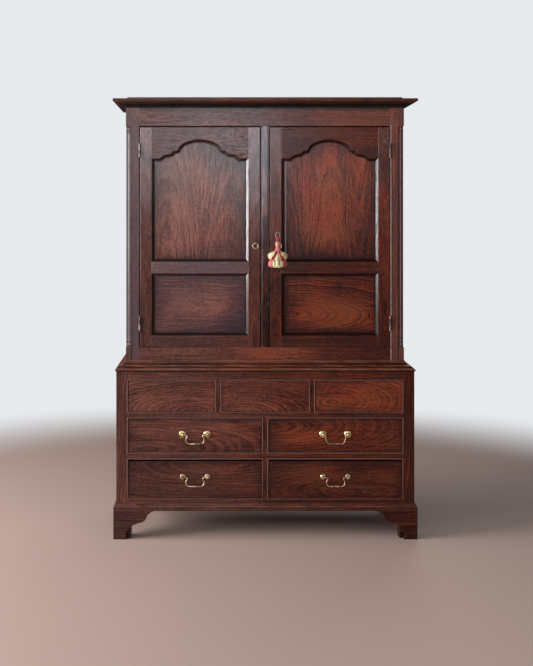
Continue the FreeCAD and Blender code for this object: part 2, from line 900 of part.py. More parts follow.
def keyhole(radius, slot, drop, y0, y1):
    hole = cylinder(radius, y1 - y0, V(key_x, y0, key_z), ALONG_Y)
    slot_box = box(key_x - slot / 2, key_x + slot / 2, y0, y1, key_z - drop, key_z)
    return hole.fuse(slot_box).removeSplitter()


def lock_pocket():
    """The recess in the back of the right-hand door's inner stile."""
    return box(door_inner, door_inner + lock_width, lock_front, lock_back,
               key_z - lock_height / 2, key_z + lock_height / 2)


def pull_shank(x):
    return cylinder(pull_shank_radius, door_thickness + pull_proud, V(x, pull_y, pull_z), ALONG_Y)


def door_stiles(pull_x, with_lock):
    blank = door_frame_blank()
    inner = blank.common(stile_region(door_inner, inner_flat, inner_flat + panel_moulding))
    outer = blank.common(stile_region(door_outer, outer_flat, outer_flat - panel_moulding))
    for z0, z1 in tenon_spans:
        left_tenon, right_tenon = tenons(z0, z1)
        inner = inner.cut(left_tenon)
        outer = outer.cut(right_tenon)
    for z0, z1 in hinge_spans:
        outer = outer.cut(door_leaf_slot(z0, z1))
    inner = inner.cut(pull_shank(pull_x))
    if with_lock:
        inner = inner.cut(lock_pocket())
        inner = inner.cut(keyhole(keyhole_radius, keyhole_slot, keyhole_drop, upper_front, lock_front))
        inner = inner.cut(keyhole(keyhole_radius + liner_wall, keyhole_slot + 2 * liner_wall,
                                  keyhole_drop + liner_wall, upper_front, upper_front + liner_depth))
    return [inner, outer]


def door_rails():
    blank = door_frame_blank()
    for edge, flat, inside in ((door_inner, inner_flat, inner_flat + panel_moulding),
                               (door_outer, outer_flat, outer_flat - panel_moulding)):
        blank = blank.cut(stile_region(edge, flat, inside))
    rails = sorted(blank.Solids, key=lambda solid: solid.BoundBox.ZMin)
    finished = []
    for rail, (z0, z1) in zip(rails, tenon_spans):
        for tenon in tenons(z0, z1):
            rail = rail.fuse(tenon)
        finished.append(rail.removeSplitter())
    return finished


def door_panel(shape_at):
    """A panel with its tongue in the groove and a slightly raised field."""
    tongue = prism(shape_at(tongue_line), on_front(groove_y), V(0, groove_width, 0))
    field = tapered(shape_at, field_line - field_rise, groove_y, field_line, panel_face_y)
    return [tongue.fuse(field).removeSplitter()]


def hinge(z0, z1):
    """One butt hinge on the right: its case leaf, door leaf and pin."""
    step = (z1 - z0) / knuckle_count
    axis_start = V(pivot_x, pivot_y, z0)
    bore = cylinder(hinge_pin_radius + hinge_pin_clearance, z1 - z0, axis_start, ALONG_Z)
    case_plate = box(opening_half, opening_half + leaf_thickness, pivot_y, upper_front + leaf_depth, z0, z1)
    door_plate = box(door_outer - leaf_thickness, door_outer, pivot_y, upper_front + leaf_depth, z0, z1)
    plates = [case_plate, door_plate]
    lows = [z0 + index * step for index in range(knuckle_count)]
    for index, low in enumerate(lows):
        clear = cylinder(knuckle_radius + knuckle_gap, step + 2 * knuckle_gap,
                         V(pivot_x, pivot_y, low - knuckle_gap), ALONG_Z)
        plates[1 - index % 2] = plates[1 - index % 2].cut(clear)
    for index, low in enumerate(lows):
        knuckle = cylinder(knuckle_radius, step - knuckle_gap,
                           V(pivot_x, pivot_y, low + knuckle_gap / 2), ALONG_Z)
        plates[index % 2] = plates[index % 2].fuse(knuckle)
    case_leaf, door_leaf = [plate.cut(bore).removeSplitter() for plate in plates]
    pin = cylinder(hinge_pin_radius, z1 - z0, axis_start, ALONG_Z)
    tip_foot = knuckle_radius * 0.8
    tip_end = knuckle_radius * 0.45
    top_tip = Part.makeCone(tip_foot, tip_end, hinge_pin_tip, V(pivot_x, pivot_y, z1))
    low_tip = Part.makeCone(tip_foot, tip_end, hinge_pin_tip, V(pivot_x, pivot_y, z0), V(0, 0, -1))
    return case_leaf, door_leaf, pin.fuse(top_tip).fuse(low_tip).removeSplitter()


def pull_stud(x):
    """A round-headed stud through the door, with an eye for the ring."""
    ball = Part.makeSphere(pull_ball_radius, V(x, pull_y, pull_z))
    eye_start = V(x - 2 * pull_ball_radius, pull_y, pull_z)
    eye = cylinder(pull_eye_radius, 4 * pull_ball_radius, eye_start, ALONG_X)
    collar = cylinder(pull_shank_radius + 1.6, 1.2, V(x, upper_front - 1.2, pull_z), ALONG_Y)
    nut = cylinder(pull_shank_radius + 2.5, 3.0, V(x, lock_back, pull_z), ALONG_Y)
    return ball.fuse([pull_shank(x), collar, nut]).cut(eye).removeSplitter()


def pull_ring(x):
    centre = V(x, pull_y, pull_z - pull_ring_radius)
    return Part.makeTorus(pull_ring_radius, pull_wire_radius, centre, ALONG_Y)


# ---------------------------------------------------------------------------
# Lock, bolt, key and tassel, all on the right-hand door
# ---------------------------------------------------------------------------

def lock():
    """The lock case with its hollow, and the thin liner of the keyhole."""
    case = lock_pocket()
    hollow = box(door_inner + lock_wall, door_inner + lock_width - lock_wall, lock_front + lock_wall,
                 lock_back - lock_wall, key_z - lock_height / 2 + lock_wall,
                 key_z + lock_height / 2 - lock_wall)
    case = case.cut(hollow).cut(bolt_box(bolt_clearance, door_inner - 1.0, door_inner + lock_wall + 1.0))
    case = case.cut(keyhole(key_shank_radius + key_clearance, keyhole_slot, keyhole_drop,
                            lock_front - 1.0, lock_front + lock_wall + 0.5))
    liner_out = keyhole(keyhole_radius + liner_wall, keyhole_slot + 2 * liner_wall,
                        keyhole_drop + liner_wall, upper_front, upper_front + liner_depth)
    liner_in = keyhole(keyhole_radius, keyhole_slot, keyhole_drop, upper_front - 1.0,
                       upper_front + liner_depth + 1.0)
    return [case, liner_out.cut(liner_in)]


def lock_bolt():
    return [bolt_box(0.0, bolt_tip, door_inner + lock_width - lock_wall - 2.0)]


def key():
    """Shank with a collar, an oval bow and a bit that points down at rest."""
    bow_y = upper_front - key_reach + key_bow_length / 2
    shank_start = upper_front - key_reach + key_bow_length - key_bow_wire / 2
    shank_end = lock_back - lock_wall - key_clearance
    shank = cylinder(key_shank_radius, shank_end - shank_start, V(key_x, shank_start, key_z), ALONG_Y)
    collar = cylinder(key_shank_radius + 1.2, 2.4, V(key_x, shank_start + 0.5, key_z), ALONG_Y)
    outer = Part.Ellipse(V(key_x, bow_y, key_z), key_bow_height / 2, key_bow_length / 2)
    inner = Part.Ellipse(V(key_x, bow_y, key_z), key_bow_height / 2 - key_bow_wire,
                         key_bow_length / 2 - key_bow_wire)
    rings = []
    for curve in (outer, inner):
        face = Part.Face(Part.Wire([curve.toShape()]))
        face.rotate(V(key_x, bow_y, key_z), ALONG_Y, 90)
        face.translate(V(-key_bow_thickness / 2, 0, 0))
        rings.append(face.extrude(V(key_bow_thickness, 0, 0)))
    bow = rings[0].cut(rings[1])
    bit_y = shank_end - key_bit_length
    bit = box(key_x - key_bit_thickness / 2, key_x + key_bit_thickness / 2, bit_y, shank_end,
              key_z - key_bit_radius, key_z)
    return [shank.fuse([collar, bow, bit]).removeSplitter()]


def cord_route():
    """The cord's loop over the key's shank, from the head and back to it."""
    foot_z = key_z - tassel_head_drop
    top_z = key_z + key_shank_radius + cord_hang + cord_radius
    wide = cord_loop_half_width
    climb = [(cord_foot_half_width, foot_z), (cord_foot_half_width, foot_z + 8.0),
             (wide - 2.2, foot_z + 20.0), (wide, foot_z + 32.0), (wide - 2.6, top_z - 3.4)]
    left = [V(key_x - half, tassel_y, z) for half, z in climb]
    crown = [V(key_x - 3.2, tassel_y, top_z), V(key_x + 3.2, tassel_y, top_z)]
    right = [V(key_x + half, tassel_y, z) for half, z in reversed(climb)]
    return left + crown + right


def tassel():
    """The knotted head and neck, and the skirt of folded cloth below."""
    head_z = key_z - tassel_head_drop
    head_length = 14.0
    skirt_z = key_z - tassel_skirt_top
    bottom_z = key_z - tassel_bottom
    neck_z = head_z - head_length
    head = [(0, neck_z), (tassel_neck_radius, neck_z),
            (tassel_neck_radius, neck_z + 1.0, tassel_neck_radius - tassel_head_radius),
            (tassel_neck_radius, head_z), (0, head_z)]
    skirt_height = skirt_z - bottom_z
    skirt = [(0, bottom_z), (0.84, bottom_z), (0.98, bottom_z + 0.16 * skirt_height, -0.02),
             (0.9, bottom_z + 0.45 * skirt_height, -0.02), (0.72, bottom_z + 0.85 * skirt_height),
             (0.3, skirt_z), (0.14, neck_z), (0, neck_z)]
    pieces = []
    for points, half_width, half_depth in ((head, 1.0, tassel_head_depth / tassel_head_radius),
                                           (skirt, tassel_half_width, tassel_half_depth)):
        wire = outline([(a, b - bottom_z) + tuple(rest) for a, b, *rest in points], lambda a, b: V(a, 0, b))
        solid = Part.Face(wire).revolve(V(0, 0, 0), ALONG_Z, 360)
        stretch = FreeCAD.Matrix()
        stretch.A11 = half_width
        stretch.A22 = half_depth
        solid = solid.transformGeometry(stretch)
        solid.translate(V(key_x, tassel_y, bottom_z))
        pieces.append(solid)
    return pieces


# ---------------------------------------------------------------------------
# Drawers: all made for the right-hand bay, and moved across for the left
# ---------------------------------------------------------------------------

drawer_x0 = divider_width / 2 + drawer_side_clearance
drawer_x1 = stile_inner - drawer_side_clearance
drawer_middle = (drawer_x0 + drawer_x1) / 2
drawer_front_back = lower_front + drawer_front_thickness
drawer_back_y = back_inner - drawer_back_clearance


def drawer_tails(x0, x1, z0, z1):
    """Dovetails on the front end of a drawer side, wider at their tips."""
    pitch = (z1 - z0) / dovetail_count
    root = drawer_front_back
    tip = drawer_front_back - dovetail_length
    tails = []
    for index in range(dovetail_count):
        middle = z0 + (index + 0.5) * pitch
        narrow = pitch / 2 - dovetail_flare - 1.0
        wide = pitch / 2 - dovetail_flare + 3.0
        points = [(root, middle - narrow), (root, middle + narrow), (tip, middle + wide), (tip, middle - wide)]
        tails.append(prism(points, on_side(x0), V(x1 - x0, 0, 0)))
    return tails


def drawer(row, top_gap, rose_radius, handle_height, plain_bail):
    """Front, box, handle posts and bail of one drawer in the right-hand bay."""
    z0 = row[0] + drawer_run_gap
    z1 = row[1] - top_gap
    side_top = z1 - drawer_side_drop
    front = box(drawer_x0, drawer_x1, lower_front, drawer_front_back, z0, z1)
    sides = []
    for x0, x1 in ((drawer_x0, drawer_x0 + drawer_side_thickness),
                   (drawer_x1 - drawer_side_thickness, drawer_x1)):
        side = box(x0, x1, drawer_front_back, drawer_back_y, z0, side_top)
        for tail in drawer_tails(x0, x1, z0, side_top):
            side = side.fuse(tail)
            front = front.cut(tail)
        sides.append(side.removeSplitter())
    inner_x0 = drawer_x0 + drawer_side_thickness
    inner_x1 = drawer_x1 - drawer_side_thickness
    bottom_z = z0 + drawer_bottom_rise
    bottom_top = bottom_z + drawer_bottom_thickness
    bottom = box(inner_x0, inner_x1, drawer_front_back, drawer_back_y, bottom_z, bottom_top)
    back = box(inner_x0, inner_x1, drawer_back_y - drawer_side_thickness, drawer_back_y,
               bottom_top, side_top - drawer_back_drop)
    handle_z = z0 + handle_height
    posts = []
    for x in (drawer_middle - post_spacing / 2, drawer_middle + post_spacing / 2):
        posts += handle_post(x, handle_z, rose_radius)
        front = front.cut(post_hole(x, handle_z))
    return {"front": [front], "box": sides + [back, bottom], "handle_posts": posts,
            "bail": [bail(drawer_middle, handle_z, plain_bail)]}


def post_hole(x, z):
    return cylinder(post_thread_radius, drawer_front_thickness, V(x, lower_front, z), ALONG_Y)


def handle_post(x, z, rose_radius):
    """A domed rose, the post through it with a ball eye, and the nut inside."""
    eye_y = lower_front - post_proud
    face = V(x, lower_front, z)
    toward_front = V(0, -1, 0)
    dome_foot = post_neck_radius + 1.5
    rose = revolved([(post_thread_radius, 0), (rose_radius, 0), (rose_radius, rose_rim, -rose_dome * 0.45),
                     (dome_foot, rose_dome), (post_neck_radius, rose_dome), (post_neck_radius, 1.5),
                     (post_thread_radius, 1.5)], face, toward_front)
    thread_end = drawer_front_thickness + nut_thickness
    thread = cylinder(post_thread_radius, thread_end, face, ALONG_Y)
    neck = cylinder(post_neck_radius, post_proud - 1.5, V(x, eye_y, z), ALONG_Y)
    stem = cylinder(post_thread_radius, 1.5, V(x, lower_front - 1.5, z), ALONG_Y)
    ball = Part.makeSphere(post_ball_radius, V(x, eye_y, z))
    bore = cylinder(bail_pin_radius + bail_pin_clearance, 4 * post_ball_radius,
                    V(x - 2 * post_ball_radius, eye_y, z), ALONG_X)
    post = ball.fuse([neck, stem, thread]).cut(bore).removeSplitter()
    half_nut = nut_width / 2
    nut = box(x - half_nut, x + half_nut, drawer_front_back, drawer_front_back + nut_thickness,
              z - half_nut, z + half_nut)
    nut = nut.cut(cylinder(post_thread_radius, nut_thickness, V(x, drawer_front_back, z), ALONG_Y))
    return [rose, post, nut]


def bail(x, z, plain):
    """A bail that hangs from the two posts. The swan-neck one bows in below
    the posts and swells in the middle; the plain one is a simple U."""
    y = lower_front - post_proud
    pin_out = post_spacing / 2 + post_ball_radius + bail_pin_overrun
    pin_in = post_spacing / 2 - post_ball_radius - 3.0
    if plain:
        bend = [(pin_in - 1.5, -5.0), (pin_in - 3.0, -18.0), (pin_in - 5.5, -bail_drop + 11.0),
                (pin_in - 14.0, -bail_drop)]
    else:
        bend = [(pin_in - 9.0, -1.5), (pin_in - 13.5, -8.0), (pin_in - 7.5, -15.0), (pin_in - 5.5, -25.0),
                (pin_in - 9.5, -bail_drop + 4.5), (pin_in - 18.0, -bail_drop)]
    half_route = [(pin_out, 0.0), (pin_in, 0.0)] + bend
    points = [V(x - across, y, z + down) for across, down in half_route]
    points += [V(x + across, y, z + down) for across, down in reversed(half_route)]
    wire = tube(points, bail_pin_radius)
    swell = [(0, -bail_bar_half_length), (bail_pin_radius, -bail_bar_half_length,
             -(bail_bar_radius - bail_pin_radius)), (bail_pin_radius, bail_bar_half_length),
             (0, bail_bar_half_length)]
    if plain:
        return wire
    bar = revolved(swell, V(x, y, z - bail_drop), ALONG_X)
    return wire.fuse(bar).removeSplitter()


# ---------------------------------------------------------------------------
# Write the nodes
# ---------------------------------------------------------------------------

def write_cases():
    save("lower_sides", lower_sides())
    save("lower_uprights", lower_uprights())
    save("lower_rails", lower_rails())
    save("dummy_fronts", dummy_fronts())
    save("opening_beads", opening_beads())
    save("lower_top_frame", lower_top_frame())
    save("inner_boards", inner_boards())
    save("drawer_runners", drawer_runners())
    save("lower_back", back_boards(inside_half, foot_height, waist_z))
    save("waist_moulding", waist_moulding())
    save("base_moulding", base_moulding())
    save("front_feet", front_feet())
    save("back_feet", back_feet())
    save("upper_sides", upper_sides())
    save("upper_posts", upper_posts())
    save("quarter_columns", quarter_columns())
    save("upper_rails", upper_rails())
    save("centre_muntin", centre_muntin())
    save("upper_back", upper_back())
    save("top_board", top_board())
    save("cornice", cornice())
    save("shelf_bearers", shelf_bearers())
    save("shelves", shelves())


def write_doors():
    hinges = [hinge(z0, z1) for z0, z1 in hinge_spans]
    case_leaves = [case_leaf for case_leaf, _, _ in hinges]
    door_leaves = [door_leaf for _, door_leaf, _ in hinges]
    pins = [pin for _, _, pin in hinges]
    save("hinge_case_leaves", case_leaves + [mirrored(leaf) for leaf in case_leaves])
    save("hinge_pins", pins + [mirrored(pin) for pin in pins])
    handed = {"door_rails": door_rails(), "door_upper_panel": door_panel(arched_outline),
              "door_lower_panel": door_panel(plain_outline), "hinge_leaves": door_leaves}
    for name, solids in handed.items():
        save("right_" + name, solids)
        save("left_" + name, [mirrored(solid) for solid in solids])
    save("right_door_stiles", door_stiles(right_pull_x, True))
    save("left_door_stiles", [mirrored(solid) for solid in door_stiles(left_pull_x, False)])
    for name, make in (("pull_stud", pull_stud), ("pull_ring", pull_ring)):
        save("right_" + name, [make(right_pull_x)])
        save("left_" + name, moved_left([make(left_pull_x)], 2 * left_pull_x))


def write_lock():
    save("lock", lock())
    save("lock_bolt", lock_bolt())
    save("key", key())
    route = cord_route()
    cord = tube(route, cord_radius)
    print("tassel cord: bend radii", bend_radii(route), "length", round(rounded_path(route).Length, 1))
    save("tassel_cord", [cord])
    save("tassel", tassel())


def write_drawers():
    rows = [("middle", drawer_rows[1], middle_drawer_top_gap, middle_rose_radius, middle_handle_height),
            ("tall", drawer_rows[0], tall_drawer_top_gap, tall_rose_radius, tall_handle_height)]
    for row_name, row, top_gap, rose_radius, handle_height in rows:
        for side in ("right", "left"):
            plain_bail = (row_name, side) == ("middle", "right")
            pieces = drawer(row, top_gap, rose_radius, handle_height, plain_bail)
            for piece, solids in pieces.items():
                if side == "left":
                    solids = moved_left(solids, 2 * drawer_middle)
                save(row_name + "_" + side + "_drawer_" + piece, solids)


os.makedirs("parts", exist_ok=True)
write_cases()
write_doors()
write_lock()
write_drawers()
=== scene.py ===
import math

import bpy
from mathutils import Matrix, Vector, noise


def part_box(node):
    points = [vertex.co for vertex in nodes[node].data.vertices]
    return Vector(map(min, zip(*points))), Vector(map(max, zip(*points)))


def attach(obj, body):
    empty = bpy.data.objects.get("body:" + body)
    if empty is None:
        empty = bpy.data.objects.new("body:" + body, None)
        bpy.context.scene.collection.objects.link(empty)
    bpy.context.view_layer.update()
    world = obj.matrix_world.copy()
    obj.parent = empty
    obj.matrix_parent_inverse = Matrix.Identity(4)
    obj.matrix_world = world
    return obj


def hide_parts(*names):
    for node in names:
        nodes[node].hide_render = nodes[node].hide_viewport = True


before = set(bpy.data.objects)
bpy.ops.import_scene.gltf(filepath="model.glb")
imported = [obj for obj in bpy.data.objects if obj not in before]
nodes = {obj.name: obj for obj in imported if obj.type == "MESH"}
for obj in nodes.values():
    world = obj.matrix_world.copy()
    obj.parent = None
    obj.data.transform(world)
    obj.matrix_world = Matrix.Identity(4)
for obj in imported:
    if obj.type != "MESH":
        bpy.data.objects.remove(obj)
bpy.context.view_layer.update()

# ------------------------------------------------------------
# Places shared with the CAD model, in metres
# ------------------------------------------------------------

LOWER_FRONT = -0.25975
UPPER_FRONT = -0.22025
LOWER_HALF = 0.6625
UPPER_HALF = 0.623
DOOR_CENTRE = 0.29075
DOOR_TOP = 1.838
KEY_X = 0.055
TASSEL_Y = UPPER_FRONT - 0.042

# ------------------------------------------------------------
# The photograph's camera, solved from its perspective: pixels in the picture, and the eye in metres
# ------------------------------------------------------------

PHOTO_WIDTH, PHOTO_HEIGHT = 533.0, 666.0
FOCAL_LENGTH = 1100.1
EYE_LEVEL_AT = (218.0, 216.0)
EYE = (-0.2102, LOWER_FRONT - 4.889, 1.4339)
SENSOR_MM = 36.0

# ------------------------------------------------------------
# Colours
# ------------------------------------------------------------

BACKDROP = (0.80, 0.825, 0.85)
FLOOR = (0.43, 0.305, 0.262)
FLOOR_FADE = (1.9, 3.4)
SKY = (0.92, 0.96, 1.0)

# The polish from its darkest tone to its lightest, on the left and on the right of the press, and
# the bare wood inside. The left one is greyer and the right one redder partly as painted light: a
# painted sheen from the window on the left and painted shade on the right.
COOL = [(0.08, (0.024, 0.0080, 0.0066)), (0.50, (0.086, 0.0275, 0.0205)), (0.95, (0.19, 0.074, 0.050))]
WARM = [(0.08, (0.019, 0.0036, 0.0026)), (0.50, (0.086, 0.0158, 0.0084)), (0.95, (0.24, 0.056, 0.020))]
DRY = [(0.10, (0.095, 0.052, 0.028)), (0.50, (0.21, 0.125, 0.070)), (0.95, (0.33, 0.21, 0.125))]
GLOW = (1.65, 1.05, 0.75)
GLOOM = (0.50, 0.42, 0.42)
RUBBED = (0.34, 0.165, 0.115)
WORN_EDGE = (0.36, 0.155, 0.095)
# Painted shadow in the gaps between doors, posts and muntin.
GAP = (0.006, 0.004, 0.004)
DEEP_GAP = (0.003, 0.002, 0.002)
STRIPE_GREEN = (0.065, 0.135, 0.014)
# Painted shade in the folds between the tassel's petals.
FOLD_RED = (0.12, 0.010, 0.010)


def darker(colour, share):
    return tuple(share * channel for channel in colour)


# ------------------------------------------------------------
# Shader helpers
# ------------------------------------------------------------

class Shader:
    """Adds nodes to the node tree of one material, or of the world."""

    def __init__(self, owner):
        owner.use_nodes = True
        self.owner = owner
        self.tree = owner.node_tree
        self.bsdf = self.tree.nodes.get("Principled BSDF")

    def put(self, socket, value):
        if isinstance(value, bpy.types.NodeSocket):
            self.tree.links.new(value, socket)
        elif isinstance(value, tuple) and len(value) == 3 and socket.type == "RGBA":
            socket.default_value = value + (1.0,)
        else:
            socket.default_value = value

    def set(self, name, value):
        self.put(self.bsdf.inputs[name], value)

    def node(self, kind, values, **settings):
        node = self.tree.nodes.new("ShaderNode" + kind)
        for name, value in settings.items():
            setattr(node, name, value)
        for name, value in values.items():
            self.put(node.inputs[name], value)
        return node

    def math(self, operation, a, b=0.0, c=0.0):
        return self.node("Math", {0: a, 1: b, 2: c}, operation=operation).outputs[0]

    def add(self, first, *others):
        for other in others:
            first = self.math("ADD", first, other)
        return first

    def sub(self, a, b):
        return self.math("SUBTRACT", a, b)

    def mul(self, a, b):
        return self.math("MULTIPLY", a, b)

    def div(self, a, b):
        return self.math("DIVIDE", a, b)

    def distance(self, a, b):
        return self.math("ABSOLUTE", self.sub(a, b))

    def centred(self, value, amount):
        """A value between 0 and 1 as one that is as often below 0 as above it."""
        return self.mul(self.sub(value, 0.5), amount)

    def vector(self, operation, a, b):
        return self.node("VectorMath", {0: a, 1: b}, operation=operation).outputs[0]

    def split(self, vector):
        node = self.node("SeparateXYZ", {0: vector})
        return node.outputs[0], node.outputs[1], node.outputs[2]

    def join(self, x, y, z):
        return self.node("CombineXYZ", {0: x, 1: y, 2: z}).outputs[0]

    def noise(self, vector, scale, detail, roughness):
        node = self.node("TexNoise", {"Vector": vector, "Scale": scale, "Detail": detail,
                                      "Roughness": roughness})
        return node.outputs["Fac"]

    def chance(self, value, output):
        """A random output that belongs to a value."""
        return self.node("TexWhiteNoise", {"W": value}, noise_dimensions="1D").outputs[output]

    def ramp(self, value, stops, interpolation="LINEAR"):
        node = self.node("ValToRGB", {0: value})
        ramp = node.color_ramp
        ramp.interpolation = interpolation
        while len(ramp.elements) < len(stops):
            ramp.elements.new(0.5)
        for element, (place, colour) in zip(ramp.elements, stops):
            element.position = place
            grey = isinstance(colour, (int, float))
            element.color = (colour, colour, colour, 1.0) if grey else colour + (1.0,)
        return node.outputs["Color"]

    def remap(self, value, low, high, to_low=0.0, to_high=1.0):
        return self.node("MapRange", {"Value": value, "From Min": low, "From Max": high,
                                      "To Min": to_low, "To Max": to_high}).outputs[0]

    def smooth(self, value, low, high):
        """0 at low and 1 at high, with a smooth step between them."""
        return self.node("MapRange", {"Value": value, "From Min": low, "From Max": high},
                         interpolation_type="SMOOTHSTEP").outputs[0]

    def mix(self, share, a, b, blend="MIX", kind="RGBA"):
        node = self.node("Mix", {"Factor": share}, data_type=kind, blend_type=blend)
        for letter, value in (("A", a), ("B", b)):
            self.put([x for x in node.inputs if x.name == letter and x.type == kind][0], value)
        return [x for x in node.outputs if x.type == kind][0]

    def place(self):
        return self.node("TexCoord", {}).outputs["Object"]

    def rounded(self, radius, samples=6):
        """The normal with its edges rounded off."""
        return self.node("Bevel", {"Radius": radius}, samples=samples).outputs["Normal"]

    def hollows(self, reach, stops):
        """A ramp over how open a place is: 0 in a deep corner and 1 in the open."""
        open_share = self.node("AmbientOcclusion", {"Distance": reach}, samples=6).outputs["AO"]
        return self.ramp(open_share, stops)

    def bump(self, height, strength, distance, normal=None):
        values = {"Height": height, "Strength": strength, "Distance": distance}
        if normal is not None:
            values["Normal"] = normal
        return self.node("Bump", values).outputs["Normal"]


# ------------------------------------------------------------
# Camera, lights, floor
# ------------------------------------------------------------

def add_object(name, data):
    made = bpy.data.objects.new(name, data)
    bpy.context.scene.collection.objects.link(made)
    return made


def make_camera():
    data = bpy.data.cameras.new("camera")
    data.sensor_width = SENSOR_MM
    data.lens = SENSOR_MM * FOCAL_LENGTH / PHOTO_HEIGHT
    data.shift_x = (PHOTO_WIDTH / 2 - EYE_LEVEL_AT[0]) / PHOTO_HEIGHT
    data.shift_y = (EYE_LEVEL_AT[1] - PHOTO_HEIGHT / 2) / PHOTO_HEIGHT
    camera = add_object("camera", data)
    camera.location = EYE
    camera.rotation_euler = (math.radians(90.0), 0.0, 0.0)
    bpy.context.scene.camera = camera


def area_light(name, place, target, width, height, power, colour):
    data = bpy.data.lights.new(name, "AREA")
    data.shape = "RECTANGLE"
    data.size = width
    data.size_y = height
    data.energy = power
    data.color = colour
    light = add_object(name, data)
    light.location = place
    direction = Vector(target) - Vector(place)
    light.rotation_euler = direction.to_track_quat("-Z", "Y").to_euler()
    light.visible_camera = False


def make_world():
    """A faint sky. The camera sees the pale backdrop in its place."""
    s = Shader(bpy.data.worlds.new("studio"))
    s.tree.nodes.clear()
    sky = s.node("Background", {"Color": SKY, "Strength": 0.06})
    pale = s.node("Background", {"Color": BACKDROP})
    seen = s.node("LightPath", {}).outputs["Is Camera Ray"]
    mix = s.node("MixShader", {0: seen, 1: sky.outputs[0], 2: pale.outputs[0]})
    s.node("OutputWorld", {"Surface": mix.outputs[0]})
    bpy.context.scene.world = s.owner


def make_floor():
    """A pale floor that fades into the backdrop away from the press."""
    mesh = bpy.data.meshes.new("floor")
    reach = 14.0
    corners = [(-reach, -reach, 0), (reach, -reach, 0), (reach, reach, 0), (-reach, reach, 0)]
    mesh.from_pydata(corners, [], [(0, 1, 2, 3)])
    s = Shader(bpy.data.materials.new("floor"))
    s.set("Base Color", FLOOR)
    s.set("Roughness", 0.6)
    far = s.node("Emission", {"Color": BACKDROP})
    level = s.node("Mapping", {"Vector": s.place(), "Scale": (1.0, 1.0, 0.0)})
    away = s.node("VectorMath", {0: level.outputs[0]}, operation="LENGTH").outputs["Value"]
    seen = s.node("LightPath", {}).outputs["Is Camera Ray"]
    share = s.mul(s.smooth(away, *FLOOR_FADE), seen)
    mix = s.node("MixShader", {0: share, 1: s.bsdf.outputs[0], 2: far.outputs[0]})
    s.put(s.tree.nodes["Material Output"].inputs["Surface"], mix.outputs[0])
    mesh.materials.append(s.owner)
    floor = add_object("floor", mesh)


bpy.context.scene.view_settings.view_transform = "Standard"
make_camera()
make_world()
make_floor()
area_light("side_window", (-5.0, -1.25, 1.95), (0.0, -0.3, 1.2), 3.2, 2.2, 540.0, (0.94, 0.95, 0.97))
area_light("key", (-3.0, -3.8, 2.8), (0.0, -0.25, 1.3), 2.0, 2.0, 60.0, (1.0, 0.96, 0.92))
area_light("front_window", (-0.9, -5.9, 2.7), (0.0, -0.2, 1.4), 2.0, 1.6, 66.0, (0.80, 0.90, 1.0))
area_light("high_window", (0.14, -5.9, 2.35), (0.0, -0.2, 1.5), 0.36, 1.5, 34.0, (0.76, 0.88, 1.0))
area_light("fill", (3.4, -3.6, 2.5), (0.0, -0.2, 0.9), 1.6, 1.6, 32.0, (1.0, 0.92, 0.86))
area_light("rear", (1.8, 4.5, 3.6), (0.0, 0.2, 1.0), 2.4, 2.0, 40.0, (1.0, 0.97, 0.94))


# ------------------------------------------------------------
# Oak
# ------------------------------------------------------------

# Which of x, y and z runs along the fibres, across them and into the board.
GRAIN_AXES = {"X": (0, 1, 2), "Z": (2, 0, 1), "Y": (1, 0, 2), "FRONT": (0, 2, 1)}

# How light a growth ring is, over its width.
RING_PROFILE = [(0.0, 0.95), (0.50, 0.70), (0.72, 0.05), (0.86, 0.0), (0.97, 0.95)]

JOINT_WIDTH = 0.004      # a glued joint's dark line, with its soft edges
# sides is painted light: it falls off across the press away from the window.
PRESS_HALF = 0.65        # sides=(left, right) hold in full this far out
WARM_FROM, WARM_TO = -0.45, 0.30    # across the press the polish turns from the greyer to the redder ramp, partly painted light
